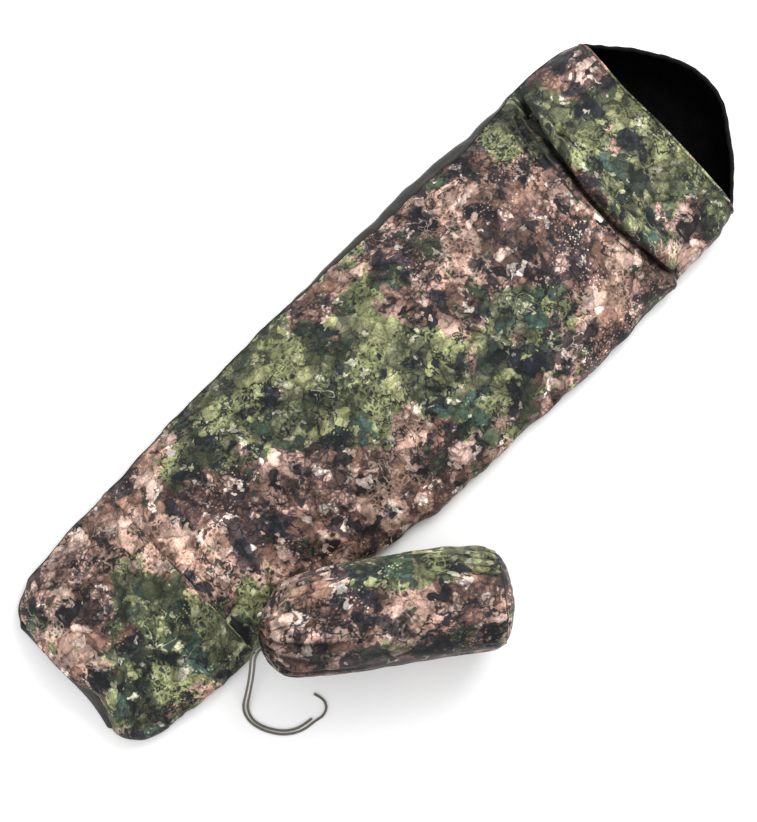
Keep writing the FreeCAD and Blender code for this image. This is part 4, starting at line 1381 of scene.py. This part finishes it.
def make_cord(name, node, route, material):
    data = bpy.data.curves.new(name, "CURVE")
    data.dimensions = "3D"
    data.resolution_u = 16
    data.bevel_depth = CORD_RADIUS
    data.bevel_resolution = 4
    data.use_fill_caps = True
    spline = data.splines.new("NURBS")
    spline.points.add(len(route) - 1)
    for point, place in zip(spline.points, route):
        point.co = (*place, 1.0)
    spline.order_u = 3
    spline.use_endpoint_u = True
    cord = bpy.data.objects.new(name, data)
    bpy.context.scene.collection.objects.link(cord)
    data.materials.append(material)
    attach(cord, "stuff_sack")
    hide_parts(node)


def cord_material():
    """Braided cord: two sets of strands that cross round the cord, with painted shade in the grooves between
    them.
    """
    paint = Paint("braided_cord")
    where = paint.node("ShaderNodeTexCoord").outputs["UV"]
    split = paint.node("ShaderNodeSeparateXYZ")
    paint.put(where, split.inputs[0])
    along = paint.math("MULTIPLY", split.outputs["X"], 620.0)
    around = paint.math("MULTIPLY", split.outputs["Y"], 4 * 2 * math.pi)
    one = paint.math("SINE", paint.math("ADD", along, around))
    other = paint.math("SINE", paint.math("SUBTRACT", along, around))
    braid = paint.math("MAXIMUM", one, other)
    fleck = paint.noise(paint.node("ShaderNodeTexCoord").outputs["Object"], 0.004, 3.0)
    # painted shade: darker where the braid dips between the strands
    tone = paint.mix(paint.remap(braid, -0.4, 1.0), srgb("#3c3a31"), srgb("#777263"))
    colour = paint.mix(paint.remap(fleck, 0.4, 0.65), tone, srgb("#5d5a4c"))
    return paint.finish(colour, paint.remap(fleck, 0.3, 0.7, 0.6, 0.8), paint.bump(braid, 0.0006),
                        Sheen_Weight=0.2)


# ---------------------------------------------------------------- carried-over pieces


def node_material(name, low, high, rough_low, rough_high, metallic=0.0, grain=0.0015):
    """Two close tones with a fine grain, for the CAD's own pieces and for thread."""
    paint = Paint(name)
    where = paint.node("ShaderNodeTexCoord").outputs["Object"]
    tone = paint.noise(where, grain * 3, 4.0, 0.6)
    colour = paint.mix(paint.remap(tone, 0.35, 0.65), srgb(low), srgb(high))
    fine = paint.noise(where, grain, 3.0, 0.6)
    rough = paint.remap(fine, 0.3, 0.7, rough_low, rough_high)
    return paint.finish(colour, rough, paint.bump(fine, 0.0002), Metallic=metallic)


def coil_material():
    """Teeth of a coil zip, as a bump along it, with painted light on each tooth and painted shade between
    them.
    """
    paint = Paint("zip_coil")
    where = paint.node("ShaderNodeTexCoord").outputs["Object"]
    split = paint.node("ShaderNodeSeparateXYZ")
    paint.put(where, split.inputs[0])
    teeth = paint.math("SINE", paint.math("MULTIPLY", split.outputs["X"], 2 * math.pi / 0.0016))
    # painted light and shade: lighter on the crest of each tooth, darker between the teeth
    colour = paint.mix(paint.remap(teeth, -0.6, 0.8), srgb("#17181a"), srgb("#3b3d40"))
    return paint.finish(colour, paint.remap(teeth, -1, 1, 0.55, 0.35), paint.bump(teeth, 0.0008))


def tape_material():
    """Woven herringbone tape of the zip, with painted shade where the weave dips."""
    paint = Paint("zip_tape")
    where = paint.node("ShaderNodeTexCoord").outputs["Object"]
    ribs = paint.wave(where, 0.0009, "X", warp=0.4)
    rows = paint.wave(where, 0.0014, "Y")
    both = paint.math("MULTIPLY", ribs, rows)
    # painted shade: darker where the weave dips
    colour = paint.mix(both, srgb("#1d2019"), srgb("#34382c"))
    return paint.finish(colour, paint.remap(ribs, 0, 1, 0.85, 0.7), paint.bump(both, 0.0004))


def paint_nodes(material, *names):
    for name in names:
        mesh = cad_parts[name].data
        mesh.materials.clear()
        mesh.materials.append(material)


# ---------------------------------------------------------------- making

make_camera()
cord = cord_material()
make_cord("drawcord_long_braid", "drawcord_long", LONG_ROUTE, cord)
make_cord("drawcord_short_braid", "drawcord_short", SHORT_ROUTE, cord)
make_studio()

bag_camo = camo_material("camo_cloth", 1.5, 0.0, 1.06)
# the sack's copy of the print is painted lighter than the bag's: painted light, for the brighter light that
# falls on the sack
sack_camo = camo_material("camo_cloth_sack", 1.9, 3.0, 1.32)
back = plain_cloth("cloth_back", "#24241f", "#2f2f28", 0.6, 0.75, 0.05)
ground = plain_cloth("ground_cloth", "#1f1e1b", "#2e2c28", 0.42, 0.58, 0.04, 0.30)
shell_cloth = plain_cloth("hood_cloth", "#0a0a0b", "#121314", 0.50, 0.66, 0.03, 0.2, 0.004)
# the lining is black cloth painted almost pure black: partly its own colour, partly painted shade for the deep
# shade inside the hood
lining_cloth = plain_cloth("lining_cloth", "#020202", "#050505", 0.85, 0.95, 0.0, 0.05)
rim_cloth = plain_cloth("rim_cloth", "#060607", "#0c0c0e", 0.60, 0.80, 0.02, 0.12)
binding = plain_cloth("binding_cloth", "#1a1a16", "#2a2923", 0.65, 0.85, 0.03, 0.2)
thread = node_material("sewing_thread", "#3a3a2c", "#57563f", 0.55, 0.75, grain=0.0006)

upper, lower, rows = bag_grids()
upper, lower = lean(relaxed(upper, 1, END_ROWS + 16, 6)), lean(lower)
smooth_upper = upper.copy()
upper, bag_painted_shade = filled_shape(upper)
upper = settled_grid(upper, bag_held(upper, rows), inset=0.006, slack=0.016, frames=18, cap=0.011)
make_bag_panels(upper, smooth_upper, bag_painted_shade, rows, bag_camo, back)
make_ground_sheet(upper, lower, ground)
make_side_seams(upper, binding, thread)
make_foot_seam(upper, rows, bag_camo, thread)
make_mouth_hem(upper, bag_camo, thread)
flap = make_flap(smooth_upper, bag_camo)
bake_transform(flap)
make_hood(shell_cloth, lining_cloth, rim_cloth)
make_sack_end(make_sack_side(sack_camo), sack_camo, binding)
make_gather(sack_camo)

paint_nodes(tape_material(), "zip_tape_lower", "zip_tape_upper")
paint_nodes(coil_material(), "zip_coil_lower", "zip_coil_upper")
metal = node_material("dark_metal", "#3b3c3e", "#56585a", 0.28, 0.45, metallic=1.0)
paint_nodes(metal, "zip_stop_left", "zip_stop_right", "zip_slider", "zip_pull", "cord_eyelet")
paint_nodes(node_material("inner_cord", "#46433a", "#6b675a", 0.6, 0.8), "channel_cord")
